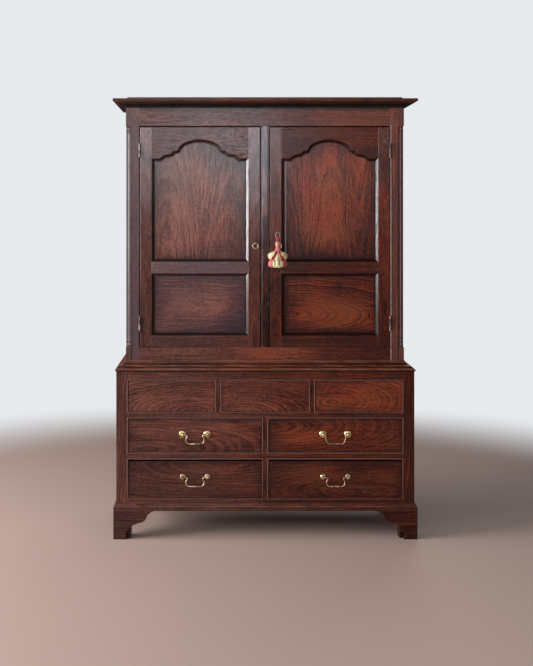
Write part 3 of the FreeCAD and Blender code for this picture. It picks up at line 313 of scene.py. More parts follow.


def oak(name, grain, seed, board=None, ring=0.0062, slope=0.035, depth=0.05, swap=None, wear=0.5,
        dirt=0.6, gloss=0.40, coat=0.30, spread=1.0, field=None, figure=1.0, warm=0.6, level=1.0,
        sides=(1.0, 1.0), dry=False, front=None, border=(0.11, 0.42), heights=None, joints=None,
        spots=(), bands=None, polish=0.22, uneven_boards=0.06, wash=None, ridges=None, lines=(),
        lines_between=(0.0, DOOR_TOP)):
    """Old waxed oak.

    Boards and figure: grain is the axis that the fibres run along, or FRONT for fibres along the
    press on an upright face, and swap=(condition, other axis) picks a second axis where the
    condition holds. board=(axis, width, start) divides a node into boards that each have their own
    figure, joints=(start, joint, ..., end) are the edges of boards glued across the press, and
    uneven_boards is how much their tones differ. ring is the width of a growth ring, figure how
    strongly the rings show, depth and slope how far the heart lies behind the face and how fast it
    leaves it, and spread how far it lies off the board's middle. ridges=[(end, height, tip, lean),
    ...] are the heart lines of the boards of a front instead, each up to its end along the press:
    the line's height, where it meets the face, and how fast it leaves the face.

    Colour: level is how light the polish is, and partly painted light and shade, sides how much
    of that is left at the left-hand and right-hand ends of the press, and heights=(z0,
    gain0, z1, gain1) does the same upwards: both paint light falling off across and up the press.
    warm is its red glow, and dry wood has no polish. field=(x0, x1, z0, z1) is a face whose middle
    has been rubbed bright and whose border=(width, darkness) has stayed dark. spots=[(x, z, half
    width, half height, tone), ...] are places that rubbing has warmed or smoke has darkened.
    bands=[(z, share of the colour, wear), ...] are painted light and painted shade along a
    moulding, its lit edges and shaded hollows, and the wear of its rubbed edges.
    wash=(share, colour, low, high) is old dust and wax, mostly with a painted cool sheen
    of reflected light, between two heights. lines=[(x, half width, share, colour), ...] are
    upright lines of painted highlight on rubbed edges and of painted shadow in gaps, between the two
    heights lines_between. What lies up to 16 mm behind front is blackened: painted shade in
    the mouldings, and old polish. wear is how much the arrises are rubbed, and dirt how
    dark the corners are: old wax and dust, and painted shade.

    Gloss: gloss is the roughness of the wood, coat the share of wax on it, and polish the
    roughness of that wax."""
    s = Shader(bpy.data.materials.new(name))
    centred = s.centred
    position = s.place()
    parts = s.split(position)
    px, py, pz = parts

    def oriented(axis):
        return s.join(*(parts[which] for which in GRAIN_AXES[axis]))

    p = oriented(grain)
    if swap is not None:
        condition, other = swap
        p = s.mix(condition(s, parts), p, oriented(other), kind="VECTOR")

    # Each board gets its own shift, centre and slope.
    index = 0.0
    centre = 0.0
    if board is not None:
        axis, width, start = board
        which = "XYZ".index(axis)
        index = s.math("FLOOR", s.div(s.sub(parts[which], start), width))
        if GRAIN_AXES[grain][1] == which:
            centre = s.add(s.mul(s.add(index, 0.5), width), start)
    seam = None
    if joints is not None:
        centre = (joints[0] + joints[1]) / 2
        for left_edge, joint, right_edge in zip(joints, joints[1:], joints[2:]):
            beyond = s.math("GREATER_THAN", px, joint)
            index = s.add(index, beyond)
            centre = s.add(centre, s.mul(beyond, (right_edge - left_edge) / 2))
            line = s.ramp(s.div(s.distance(px, joint), JOINT_WIDTH), [(0.20, 1.0), (0.45, 0.0)])
            seam = line if seam is None else s.math("MAXIMUM", seam, line)
    r0, r1, r2 = s.split(s.chance(s.add(index, seed * 7.31), "Color"))
    start_along, across, deep = s.split(p)
    along = s.add(start_along, s.mul(r0, 5.0))
    q = s.join(along, across, s.add(deep, s.mul(r2, 3.0)))

    def grain_noise(long, wide, detail=3.0):
        return s.noise(s.vector("MULTIPLY", q, (long, wide, wide)), 1.0, detail, 0.6)

    slow = grain_noise(1.3, 4.0, 1.0)
    mild = grain_noise(5.0, 26.0)

    # Growth rings: cones round a heart line that runs slowly away from the face.
    if ridges is None:
        lean = s.mul(s.sub(s.mul(s.math("ROUND", r2), 2.0), 1.0), slope)
        side = s.add(s.sub(across, centre), centred(r1, 0.10 * spread))
        side = s.add(side, s.add(centred(slow, 0.07), centred(mild, 0.010)))
        heart = s.add(s.add(depth, s.mul(r1, 0.03)), s.mul(start_along, lean))
        heart = s.add(heart, centred(slow, 0.03), deep)
    else:
        ridge = ridges[0][1:]
        for one, other in zip(ridges, ridges[1:]):
            beyond = s.math("GREATER_THAN", start_along, one[0])
            ridge = [s.math("MULTIPLY_ADD", beyond, new - old, value)
                     for value, old, new in zip(ridge, one[1:], other[1:])]
        height, tip, lean = ridge
        side = s.add(s.sub(across, height), centred(slow, 0.035), centred(mild, 0.022))
        heart = s.mul(s.sub(start_along, tip), lean)
        heart = s.add(heart, s.add(centred(slow, 0.03), 0.012))
    radius = s.math("SQRT", s.add(s.mul(side, side), s.mul(heart, heart)))
    uneven = s.noise(s.join(s.mul(radius, 40.0), r0, r1), 1.0, 2.0, 0.5)
    turns = s.add(s.div(radius, ring), s.mul(uneven, 1.6), centred(mild, 0.5))
    rings = s.ramp(s.math("FRACT", turns), RING_PROFILE)
    year = s.chance(s.math("FLOOR", turns), "Value")
    shown = s.ramp(grain_noise(1.8, 7.0, 2.0), [(0.36, 0.35), (0.58, 1.0)])

    # Vessel lines run along the rings, so they bend with the figure.
    vessels = s.noise(s.join(s.mul(along, 4.5), s.mul(turns, 2.7), r1), 1.0, 2.0, 0.6)
    wide_band = grain_noise(1.6, 22.0)
    coarse = grain_noise(3.5, 95.0)
    streak = grain_noise(8.0, 330.0)
    fibre = grain_noise(24.0, 1100.0, 2.0)
    patch = grain_noise(3.0, 7.0)
    mottle = s.noise(position, 62.0, 2.0, 0.6)
    speckle = s.noise(position, 230.0, 2.0, 0.6)
    cloud = s.noise(s.vector("ADD", position, (seed * 1.7, seed * 0.9, seed * 2.3)), 4.6, 3.0, 0.55)
    pores = s.ramp(s.add(fibre, s.mul(rings, 0.08)), [(0.36, 1.0), (0.48, 0.0)])

    # The tone: 0 is the darkest polish and 1 the lightest.
    ring_tone = s.add(centred(rings, 0.42 * figure), centred(year, 0.22 * figure))
    tone = s.add(0.50, s.mul(ring_tone, shown))
    for value, amount in ((wide_band, 0.30), (coarse, 0.42), (streak, 0.90), (fibre, 0.95),
                          (vessels, 0.70), (mottle, 0.35), (speckle, 1.15), (patch, 0.60),
                          (r2, uneven_boards)):
        tone = s.add(tone, centred(value, amount))
    middle = 1.0
    if field is not None:
        x0, x1, z0, z1 = field
        from_x = s.sub((x1 - x0) / 2, s.distance(px, (x0 + x1) / 2))
        from_z = s.sub((z1 - z0) / 2, s.distance(pz, (z0 + z1) / 2))
        from_edge = s.math("SMOOTH_MIN", from_x, from_z, 0.03)
        from_edge = s.add(from_edge, s.add(centred(cloud, 0.05), centred(coarse, 0.02)))
        middle = s.ramp(s.div(from_edge, border[0]), [(0.02, 0.0), (0.35, 0.62), (1.0, 1.0)], "EASE")
        tone = s.add(tone, s.mul(s.sub(middle, 0.8), border[1]))
    for x, z, half_x, half_z, amount in spots:
        away_x = s.div(s.sub(px, x), half_x)
        away_z = s.div(s.sub(pz, z), half_z)
        away = s.add(s.mul(away_x, away_x), s.mul(away_z, away_z), centred(cloud, 1.6))
        tone = s.add(tone, s.mul(s.smooth(away, 1.5, 0.0), amount))

    if dry:
        colour = s.ramp(tone, DRY)
        deepest = DRY[0][1]
    else:
        # Across the press the polish turns from the greyer left-hand ramp to the redder right-hand one,
        # and the red glow grows towards the right: partly painted light, a painted sheen on the left and
        # painted shade on the right.
        rightward = s.smooth(px, WARM_FROM, WARM_TO)
        colour = s.mix(rightward, s.ramp(tone, COOL), s.ramp(tone, WARM))
        deepest = WARM[0][1]
        glow = s.mul(s.ramp(cloud, [(0.44, 0.0), (0.66, 1.0)]), middle)
        glow = s.mul(glow, s.math("MULTIPLY_ADD", rightward, 0.6, 0.4))
        colour = s.mix(s.mul(glow, warm), colour, GLOW, "MULTIPLY")
        gloom = s.ramp(grain_noise(3.0, 8.0, 2.0), [(0.50, 0.0), (0.74, 0.35)])
        colour = s.mix(gloom, colour, GLOOM, "MULTIPLY")
        # Painted light: the colour is made lighter or darker across the press, and up it, as the window's
        # light falls off.
        gain = s.remap(px, -PRESS_HALF, PRESS_HALF, sides[0] * level, sides[1] * level)
        if heights is not None:
            z0, gain0, z1, gain1 = heights
            gain = s.mul(gain, s.remap(pz, z0, z1, gain0, gain1))
        colour = s.mix(1.0, colour, s.join(gain, gain, gain), "MULTIPLY")
    if seam is not None:
        pores = s.math("MAXIMUM", pores, s.mul(seam, 0.7))
    colour = s.mix(s.mul(pores, 0.55), colour, darker(deepest, 0.4))

    # Painted light and shade along mouldings, dust and wax with a painted sheen, lines of painted
    # highlight and painted gap shadow, and painted shade in recesses lie over the wood's own colour.
    # Painted light and painted shade along a moulding, lit edges and shaded hollows, and worn edges.
    if bands is not None:
        z0, z1 = bands[0][0], bands[-1][0]
        up = s.remap(pz, z0, z1)
        kept = s.ramp(up, [((z - z0) / (z1 - z0), share) for z, share, worn in bands])
        worn = s.ramp(up, [((z - z0) / (z1 - z0), worn) for z, share, worn in bands])
        colour = s.mix(1.0, colour, kept, "MULTIPLY")
        patchy = s.noise(s.vector("MULTIPLY", q, (14.0, 30.0, 30.0)), 1.0, 3.0, 0.65)
        worn = s.mul(worn, s.ramp(patchy, [(0.36, 0.15), (0.62, 1.0)]))
        colour = s.mix(worn, colour, WORN_EDGE)
    # Old dust and wax, and a painted sheen of reflected light, between two heights.
    if wash is not None:
        share, shade, low, high = wash
        between = s.div(s.sub(pz, low), high - low)
        share = s.mul(share, s.ramp(between, [(0.0, 0.0), (0.12, 1.0), (0.88, 1.0), (1.0, 0.0)]))
        colour = s.mix(share, colour, shade)
    # Upright lines of painted highlight on edges and painted shadow in gaps.
    for x, half, share, shade in lines:
        line = s.ramp(s.div(s.distance(px, x), 2 * half), [(0.30, 1.0), (0.70, 0.0)])
        line = s.mul(line, s.ramp(mottle, [(0.30, 0.4), (0.55, 1.0)]))
        for z, compare in zip(lines_between, ("GREATER_THAN", "LESS_THAN")):
            line = s.mul(line, s.math(compare, pz, z))
        colour = s.mix(s.mul(line, share), colour, shade)
    # Painted shade in the recessed mouldings behind the front face, with old polish.
    if front is not None:
        behind = s.smooth(py, front + 0.0004, front + 0.0030)
        inside = s.math("GREATER_THAN", py, front + 0.0160)
        behind = s.mul(behind, s.sub(0.88, s.mul(inside, 0.78)))
        colour = s.mix(behind, colour, darker(deepest, 0.25))

    # Rubbed arrises, and darker corners: old wax and dust, and painted shade.
    if wear > 0.0:
        face = s.node("NewGeometry", {}).outputs["Normal"]
        facing = s.node("VectorMath", {0: s.rounded(0.0024), 1: face}, operation="DOT_PRODUCT")
        rub = s.ramp(facing.outputs["Value"], [(0.80, 1.0), (0.985, 0.0)])
        rub = s.mul(rub, s.ramp(s.noise(position, 30.0, 3.0, 0.6), [(0.36, 0.25), (0.60, 1.0)]))
        colour = s.mix(s.mul(rub, wear), colour, RUBBED)
    if dirt > 0.0:
        hidden = s.hollows(0.02, [(0.30, 1.0), (0.90, 0.0)])
        colour = s.mix(s.mul(hidden, dirt), colour, darker(deepest, 0.2))

    rough = s.add(gloss, s.mul(pores, 0.20))
    rough = s.add(rough, centred(patch, 0.30), centred(streak, -0.20))
    height = s.sub(s.mul(rings, 0.25), pores)
    height = s.add(height, s.add(s.mul(streak, 0.6), s.mul(coarse, 1.2)))
    height = s.add(height, s.mul(grain_noise(6.0, 20.0, 2.0), 4.0))
    base_normal = s.rounded(0.0026)
    s.set("Normal", s.bump(height, 0.6, 0.0007, base_normal))
    if coat > 0.0:
        waxed = s.add(s.mul(height, 0.5), s.noise(position, 210.0, 2.0, 0.5))
        s.set("Coat Normal", s.bump(waxed, 0.55, 0.0006, base_normal))
    s.set("Base Color", colour)
    s.set("Roughness", rough)
    s.set("Specular IOR Level", 0.07)
    s.set("Coat Weight", coat)
    s.set("Coat Roughness", polish)
    s.set("Coat IOR", 1.45)
    return s.owner


def face_of(node):
    """The front face of a node: its lowest and highest x and z."""
    low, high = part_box(node)
    return (low[0], high[0], low[2], high[2])


def dress(node, material):
    """Give a CAD node one material in place of its packed one."""
    slots = nodes[node].data.materials
    slots.clear()
    slots.append(material)


def wood(node, name, grain, seed, **look):
    """Dress a CAD node in an oak of its own."""
    dress(node, oak(name + "_oak", grain, seed, **look))


def side_of(half, front):
    """True on the side lengths of a moulding that is mitred round a case."""
    def condition(s, parts):
        out_x = s.sub(s.math("ABSOLUTE", parts[0]), half)
        out_y = s.sub(front, parts[1])
        return s.math("GREATER_THAN", out_x, out_y)
    return condition


UPPER_SIDES = (side_of(UPPER_HALF, UPPER_FRONT), "Y")
LOWER_SIDES = (side_of(LOWER_HALF, LOWER_FRONT), "Y")
ALL_HEIGHTS = (0.0, 3.0)
LEFT_AND_RIGHT = ("X", 2.0, 0.0)
BARE = {"wear": 0.0, "gloss": 0.62, "coat": 0.0, "dirt": 0.5, "dry": True}


def dress_cases():
    # Across the cases sides paint light falling off from the window, and bands paint the lit edges and
    # shaded hollows of the mouldings. The cornice's low level, dark tint and bands paint the shade under
    # its overhang.
    wood("cornice", "cornice", "X", 1, swap=UPPER_SIDES, wear=0.3, level=0.33, sides=(1.1, 0.62),
         coat=0.10, gloss=0.5, wash=(0.12, (0.05, 0.046, 0.036), *ALL_HEIGHTS),
         bands=[(1.915, 0.10, 0.0), (1.929, 0.15, 0.0), (1.933, 0.5, 0.0), (1.940, 0.9, 0.03),
                (1.945, 2.4, 0.20), (1.949, 1.3, 0.0), (1.952, 2.4, 0.10), (1.957, 3.6, 0.18)])
    wood("waist_moulding", "waist", "X", 2, swap=UPPER_SIDES, wear=0.4, dirt=0.9, level=0.86,
         sides=(1.0, 0.85),
         bands=[(0.7440, 0.12, 0.0), (0.7480, 0.25, 0.0), (0.7500, 1.0, 0.35), (0.7540, 1.1, 0.45),
                (0.7580, 0.55, 0.0), (0.7620, 0.60, 0.0), (0.7660, 1.2, 0.35), (0.7700, 0.9, 0.0),
                (0.7740, 0.35, 0.0), (0.7775, 0.45, 0.0), (0.7800, 1.5, 0.55), (0.7830, 0.7, 0.0),
                (0.7870, 1.6, 0.6)])
    wood("base_moulding", "base", "X", 3, swap=LOWER_SIDES, wear=0.35, dirt=0.9, level=0.80,
         sides=(1.0, 0.62),
         bands=[(0.1270, 0.25, 0.0), (0.1300, 0.6, 0.0), (0.1345, 1.0, 0.15), (0.1380, 0.5, 0.0),
                (0.1415, 0.9, 0.0), (0.1450, 1.3, 0.25), (0.1490, 0.8, 0.0), (0.1530, 1.2, 0.2),
                (0.1570, 0.7, 0.0)])
    wood("top_board", "top", "X", 4, board=("Y", 0.255, -0.215), level=0.6,
         wash=(0.25, (0.22, 0.20, 0.16), *ALL_HEIGHTS))
    # The frieze: a painted cool reflection across its middle and top, painted light falling off upwards,
    # and painted shadow under the cornice.
    wood("upper_rails", "frieze", "X", 5, board=("Z", 0.60, 0.60), wear=0.3, figure=0.6, coat=0.38,
         wash=(0.05, (0.20, 0.22, 0.25), 1.80, 2.0), sides=(1.0, 0.86), heights=(0.79, 1.02, 1.88, 0.88),
         lines=[(-0.18, 0.20, 0.11, (0.20, 0.23, 0.25))], lines_between=(1.80, 2.0),
         spots=[(-0.06, 0.82, 0.5, 0.06, 0.16), (0.45, 0.82, 0.3, 0.1, -0.14),
                (0.43, 1.90, 0.22, 0.08, 0.15)],
         bands=[(0.744, 1.0, 0.0), (0.790, 1.0, 0.0), (1.900, 1.0, 0.0), (1.914, 0.30, 0.0),
                (1.949, 0.3, 0.0)])
    # Posts and columns: painted highlights on their edges, painted shadow in the gaps beside them, a
    # painted cool sheen, and painted shade on the left.
    wood("upper_posts", "post", "Z", 6, board=LEFT_AND_RIGHT, wear=0.6, sides=(0.66, 1.0),
         wash=(0.10, (0.17, 0.15, 0.17), *ALL_HEIGHTS),
         lines=[(-0.5780, 0.0160, 0.25, (0.08, 0.08, 0.11)), (-0.5970, 0.0020, 0.70, GAP),
                (0.5637, 0.0022, 0.92, (0.50, 0.42, 0.40)), (0.5690, 0.0022, 0.60, GAP),
                (0.5975, 0.0025, 0.80, GAP)])
    wood("quarter_columns", "column", "Z", 7, board=LEFT_AND_RIGHT, wear=0.7, sides=(0.34, 1.3),
         wash=(0.13, (0.18, 0.18, 0.205), *ALL_HEIGHTS),
         lines=[(-0.6070, 0.0080, 0.10, (0.20, 0.19, 0.215)), (0.6020, 0.0020, 0.80, GAP),
                (0.6087, 0.0030, 0.85, (0.30, 0.26, 0.24)), (0.6170, 0.0036, 0.85, (0.010, 0.006, 0.005))])
    # The muntin: a painted cool sheen at the top, painted shade lower down, and painted shadow in the gaps
    # beside it.
    wood("centre_muntin", "muntin", "Z", 8, wear=0.5, gloss=0.32, level=0.62, coat=1.0, polish=0.13,
         heights=(1.0, 0.35, 1.5, 1.25), wash=(0.125, (0.165, 0.190, 0.245), 1.42, 2.1),
         lines=[(-0.0196, 0.0028, 0.85, DEEP_GAP), (-0.0150, 0.0016, 0.25, (0.15, 0.12, 0.11)),
                (0.0194, 0.0028, 0.85, DEEP_GAP)])
    # The case sides are painted darker on the left, against the window's light.
    wood("upper_sides", "side", "Z", 9, board=("Y", 0.235, -0.19), sides=(0.5, 1.15))
    wood("lower_sides", "low_side", "Z", 10, board=("Y", 0.265, -0.24), sides=(0.5, 1.15))
    wood("lower_uprights", "upright", "Z", 11, board=("X", 0.19, -0.665), level=0.82, sides=(1.0, 0.42))
    wood("lower_rails", "rail", "X", 12, board=("Z", 0.18, -0.06), level=0.9, sides=(1.06, 0.44))
    # The beads are painted light, as a painted highlight along them.
    wood("opening_beads", "bead", "X", 13, wear=0.0, dirt=0.0, level=1.2, figure=0.3,
         wash=(0.55, (0.150, 0.092, 0.078), *ALL_HEIGHTS))
    wood("dummy_fronts", "dummy", "FRONT", 14, board=("X", 0.42, -0.63), wear=0.2, figure=1.15,
         ring=0.0098, uneven_boards=0.22, level=0.93,
         ridges=[(-0.21, 0.572, -0.26, 0.27), (0.21, 0.555, -0.06, 0.36), (0.70, 0.610, 0.34, 0.34)],
         spots=[(0.44, 0.63, 0.13, 0.05, 0.12), (0.0, 0.60, 0.12, 0.05, 0.12),
                (-0.50, 0.62, 0.12, 0.05, 0.12)])
    wood("front_feet", "foot", "X", 15, swap=LOWER_SIDES, board=LEFT_AND_RIGHT, level=0.55,
         sides=(1.05, 0.58))
    wood("back_feet", "back_foot", "Y", 16, board=LEFT_AND_RIGHT, level=0.6)
    inner = {**BARE, "figure": 0.7}
    wood("upper_back", "upper_back", "Z", 20, board=("X", 0.242, -0.605), **inner)
    wood("lower_back", "lower_back", "Z", 21, board=("X", 0.257, -0.6425), **inner)
    wood("shelves", "shelf", "X", 22, board=("Z", 0.35, 1.0), **inner)
    for seed, node in enumerate(("shelf_bearers", "drawer_runners"), 23):
        wood(node, node, "Y", seed, board=("X", 0.3, -0.65), **inner)
    for seed, node in enumerate(("lower_top_frame", "inner_boards"), 25):
        wood(node, node, "X", seed, board=("Z", 0.19, 0.0), **inner)


# What the two doors don't share: the left one stands nearer the window, and is painted greyer and lighter,
# with a painted cool sheen; the right one is painted darker. Their lines are painted shadow and painted
# highlight.
STILES = {"left": {"coat": 0.9, "level": 0.92, "heights": (1.0, 0.75, 1.5, 1.15),
                   "wash": (0.18, (0.115, 0.118, 0.125), 1.45, 2.0)},
          "right": {"coat": 0.6, "level": 0.80, "heights": (1.0, 0.70, 1.5, 1.0),
                    "wash": (0.02, (0.115, 0.118, 0.125), 1.45, 2.0)}}
RAILS = {"left": {"coat": 0.75, "level": 0.84, "heights": (1.18, 0.95, 1.8, 0.80),
                  "wash": (0.12, (0.18, 0.205, 0.26), 1.16, 1.26)},
         "right": {"coat": 0.40, "level": 0.54, "heights": (0.9, 0.85, 1.4, 1.0)}}
UPPER_PANELS = {"left": {"level": 1.21, "coat": 0.8, "joints": (-0.509, -0.2968, -0.073),
                         "wash": (0.14, (0.115, 0.110, 0.080), 1.5, 2.0),
                         "lines": [(-0.490, 0.0022, 0.4, (0.10, 0.07, 0.07))],
                         "spots": [(-0.43, 1.40, 0.12, 0.16, 0.22), (-0.20, 1.72, 0.14, 0.10, -0.25),
                                   (-0.36, 1.62, 0.10, 0.20, 0.10), (-0.18, 1.27, 0.10, 0.08, -0.12)]},
                "right": {"level": 0.92, "coat": 0.5, "joints": (0.073, 0.170, 0.364, 0.509),
                          "lines": [(0.0928, 0.0026, 0.9, (0.28, 0.18, 0.165))],
                          "spots": [(0.27, 1.52, 0.09, 0.26, 0.22), (0.13, 1.60, 0.06, 0.20, 0.05),
                                    (0.44, 1.27, 0.07, 0.10, -0.20), (0.28, 1.24, 0.12, 0.05, -0.25)]}}
LOWER_PANELS = {"left": {"level": 1.0, "coat": 0.6, "figure": 0.40, "ridges": [(0.0, 1.02, -0.52, 0.15)],
                         "wash": (0.07, (0.12, 0.13, 0.20), 0.7, 1.4),
                         "spots": [(-0.30, 1.06, 0.16, 0.08, 0.16), (-0.10, 0.98, 0.14, 0.14, -0.18)]},
                "right": {"level": 0.70, "coat": 0.30, "figure": 1.0, "ridges": [(0.7, 0.995, 0.17, 0.24)],
                          "spots": [(0.31, 0.99, 0.19, 0.07, 0.28), (0.42, 1.12, 0.16, 0.06, -0.15)]}}


def dress_doors():
    for side, centre, seed in (("left", -DOOR_CENTRE, 30), ("right", DOOR_CENTRE, 40)):
        door = side + "_door_"
        wood(door + "stiles", side + "_stile", "Z", seed, board=("X", 0.50, centre - 0.5), spread=0.4,
             front=UPPER_FRONT, figure=0.35, polish=0.16, **STILES[side])
        wood(door + "rails", side + "_rail", "X", seed + 1, board=("Z", 0.30, 0.84), front=UPPER_FRONT,
             figure=0.5, **RAILS[side])
        wood(door + "upper_panel", side + "_upper_panel", "Z", seed + 2, slope=0.05, depth=0.04, wear=0.2,
             field=face_of(door + "upper_panel"), warm=0.8, figure=0.42, ring=0.0078, uneven_boards=0.14,
             **UPPER_PANELS[side])
        wood(door + "lower_panel", side + "_lower_panel", "FRONT", seed + 3, wear=0.3,
             field=face_of(door + "lower_panel"), warm=0.9, ring=0.0110, **LOWER_PANELS[side])


# The drawers' levels are painted light: darker towards the right and lower down.
DRAWERS = {"middle_left": {"level": 0.84, "ridges": [(0.0, 0.40, -0.46, 0.20)],
                           "spots": [(-0.50, 0.46, 0.12, 0.06, -0.05), (-0.25, 0.47, 0.14, 0.06, 0.05)]},
           "middle_right": {"level": 0.71, "ridges": [(0.7, 0.50, 0.08, 0.24)],
                            "spots": [(0.16, 0.45, 0.10, 0.05, 0.22)]},
           "tall_left": {"level": 0.67, "ridges": [(0.0, 0.33, -0.12, 0.18)],
                         "spots": [(-0.30, 0.26, 0.16, 0.06, 0.05)]},
           "tall_right": {"level": 0.50, "ridges": [(0.7, 0.21, 0.44, 0.20)],
                          "spots": [(0.21, 0.29, 0.14, 0.05, 0.22)]}}


def dress_drawers():
    for number, (name, look) in enumerate(DRAWERS.items()):
        drawer = name + "_drawer"
        seed = 50 + 2 * number
        wood(drawer + "_front", drawer, "FRONT", seed, wear=0.35, ring=0.0115, border=(0.05, 0.22),
             field=face_of(drawer + "_front"), figure=0.6, **look)
        wood(drawer + "_box", drawer + "_box", "Y", seed + 1, board=("X", 0.27, -0.7), **BARE)


# ------------------------------------------------------------
# Metals
# ------------------------------------------------------------

def metal(name, bright, tarnish, tarnish_share, roughness):
    """Old metal: rubbed bright where hands reach, tarnished in the hollows."""
    s = Shader(bpy.data.materials.new(name))
    position = s.place()
    spots = s.noise(position, 60.0, 4.0, 0.6)
    fine = s.noise(position, 540.0, 3.0, 0.6)
    low, high = 0.62 - tarnish_share * 0.4, 0.74 - tarnish_share * 0.2
    stain = s.math("MAXIMUM", s.ramp(spots, [(low, 0.0), (high, 1.0)]),
                   s.hollows(0.006, [(0.35, 1.0), (0.85, 0.0)]))
    s.set("Base Color", s.mix(stain, bright, tarnish))
    s.set("Metallic", 1.0)
    s.set("Roughness", s.add(roughness, s.mul(stain, 0.28), s.centred(fine, 0.2)))
    s.set("Normal", s.bump(s.add(spots, s.mul(fine, 0.5)), 0.35, 0.0003, s.rounded(0.0005, 4)))
    return s.owner


def dress_metals():
    gold = metal("gold_brass", (0.80, 0.60, 0.30), (0.20, 0.12, 0.055), 0.35, 0.28)
    worn = metal("worn_brass", (0.78, 0.61, 0.37), (0.17, 0.11, 0.065), 0.50, 0.34)
    dull = metal("dull_brass", (0.34, 0.30, 0.25), (0.09, 0.070, 0.055), 0.8, 0.50)
    iron = metal("old_iron", (0.22, 0.19, 0.17), (0.055, 0.038, 0.030), 0.8, 0.45)
    for node in nodes:
        if node.startswith("middle") and node.endswith("handle_posts"):
            dress(node, gold)
        elif node.endswith(("handle_posts", "bail", "pull_ring", "pull_stud")):
            dress(node, worn)
        elif "hinge" in node:
            dress(node, dull)
        elif node in ("key", "lock", "lock_bolt"):
            dress(node, iron)


dress_cases()
dress_doors()
dress_drawers()
dress_metals()


# ------------------------------------------------------------
# Tassel
# ------------------------------------------------------------

CORD_ROUTE = [(0.0516, TASSEL_Y, 1.3180), (0.0516, TASSEL_Y, 1.3260), (0.0477, TASSEL_Y, 1.3380),
              (0.0455, TASSEL_Y, 1.3500), (0.0481, TASSEL_Y, 1.3594), (0.0518, TASSEL_Y, 1.3628),
              (0.0582, TASSEL_Y, 1.3628), (0.0619, TASSEL_Y, 1.3594), (0.0645, TASSEL_Y, 1.3500),
              (0.0623, TASSEL_Y, 1.3380), (0.0584, TASSEL_Y, 1.3260), (0.0584, TASSEL_Y, 1.3180)]
CORD_LEGS = [(1.318, 0.0034), (1.326, 0.0037), (1.338, 0.0068), (1.350, 0.0092)]    # (z, half distance)
WHIPPED = (1.3190, 1.3430)    # the heights that red thread is wound between
FLATNESS = 0.74               # the tassel's depth over its width
WEAVE = 2600.0                # radians of the weave per metre

# Shapes turned about the tassel's upright line, as (radius, z).
KNOT = [(0.0048, 1.3200), (0.0080, 1.3178), (0.0100, 1.3130), (0.0101, 1.3080), (0.0082, 1.3025),
        (0.0060, 1.3004)]
NECK = [(0.0062, 1.3012), (0.0074, 1.2965), (0.0088, 1.2900), (0.0125, 1.2810), (0.0190, 1.2730),
        (0.0250, 1.2660), (0.0240, 1.2600)]
CORE = [(0.006, 1.276), (0.022, 1.268), (0.033, 1.252), (0.035, 1.232), (0.029, 1.216), (0.015, 1.212)]

# Petal outlines, as (place down the petal, share of the width), and lines down their middles, as
# (place, radius, z).
LOZENGE = [(0.0, 0.06), (0.5, 0.66), (0.78, 1.0), (0.92, 0.86), (1.0, 0.55)]
CORNER = [(0.0, 0.15), (0.38, 0.86), (0.60, 1.0), (0.84, 0.62), (1.0, 0.16)]
BAND = [(0.0, 0.5), (0.4, 0.85), (0.8, 1.0), (1.0, 0.6)]
CUP = [(0.0, 0.60), (0.3, 0.94), (0.7, 1.0), (0.9, 0.84), (1.0, 0.50)]
UPPER_LINE = [(0.0, 0.0125, 1.2745), (0.35, 0.0290, 1.2620), (0.72, 0.0385, 1.2450), (1.0, 0.0350, 1.2345)]
SIDE_LINE = [(0.0, 0.0170, 1.2765), (0.35, 0.0345, 1.2690), (0.72, 0.0440, 1.2545), (1.0, 0.0440, 1.2415)]
LOWER_LINE = [(0.0, 0.0300, 1.2410), (0.35, 0.0380, 1.2300), (0.75, 0.0385, 1.2130), (1.0, 0.0310, 1.2050)]
BAND_LINE = [(0.0, 0.0120, 1.2800), (0.4, 0.0290, 1.2660), (0.8, 0.0375, 1.2480), (1.0, 0.0360, 1.2390)]


def thread(name, colour, second, stripes=()):
    """Silky woven or wound thread. stripes=[(centre, half width, low, high), ...] are green stripes
    down a petal, in its UV coordinates."""
    s = Shader(bpy.data.materials.new(name))
    position = s.place()
    x, y, z = s.split(position)
    weave = s.mul(s.math("SINE", s.mul(s.add(x, y), WEAVE)), s.math("SINE", s.mul(z, WEAVE)))
    blotch = s.noise(position, 160.0, 3.0, 0.6)
    fray = s.noise(s.vector("MULTIPLY", position, (1.0, 1.0, 0.35)), 900.0, 2.0, 0.6)
    body = s.mix(s.ramp(blotch, [(0.35, 0.0), (0.65, 1.0)]), colour, second)
    if stripes:
        u, v, unused = s.split(s.node("TexCoord", {}).outputs["UV"])
        shaky = s.add(u, s.centred(blotch, 0.16))
        green = 0.0
        for centre, half, low, high in stripes:
            line = s.ramp(s.div(s.distance(shaky, centre), half * 2), [(0.35, 1.0), (0.62, 0.0)])
            span = s.mul(s.math("GREATER_THAN", v, low), s.math("LESS_THAN", v, high))
            green = s.math("MAXIMUM", green, s.mul(line, span))
        body = s.mix(green, body, STRIPE_GREEN)
    body = s.mix(s.ramp(fray, [(0.36, 0.65), (0.6, 0.0)]), body, darker(colour, 0.30))
    # Painted shade in the folds and hollows between the petals.
    body = s.mix(s.hollows(0.011, [(0.25, 0.9), (0.85, 0.0)]), body, FOLD_RED)
    s.set("Base Color", body)
    s.set("Roughness", 0.62)
    s.set("Sheen Weight", 0.5)
    s.set("Sheen Roughness", 0.4)
    s.set("Normal", s.bump(s.add(weave, s.mul(fray, 3.0)), 0.5, 0.00025))
    return s.owner


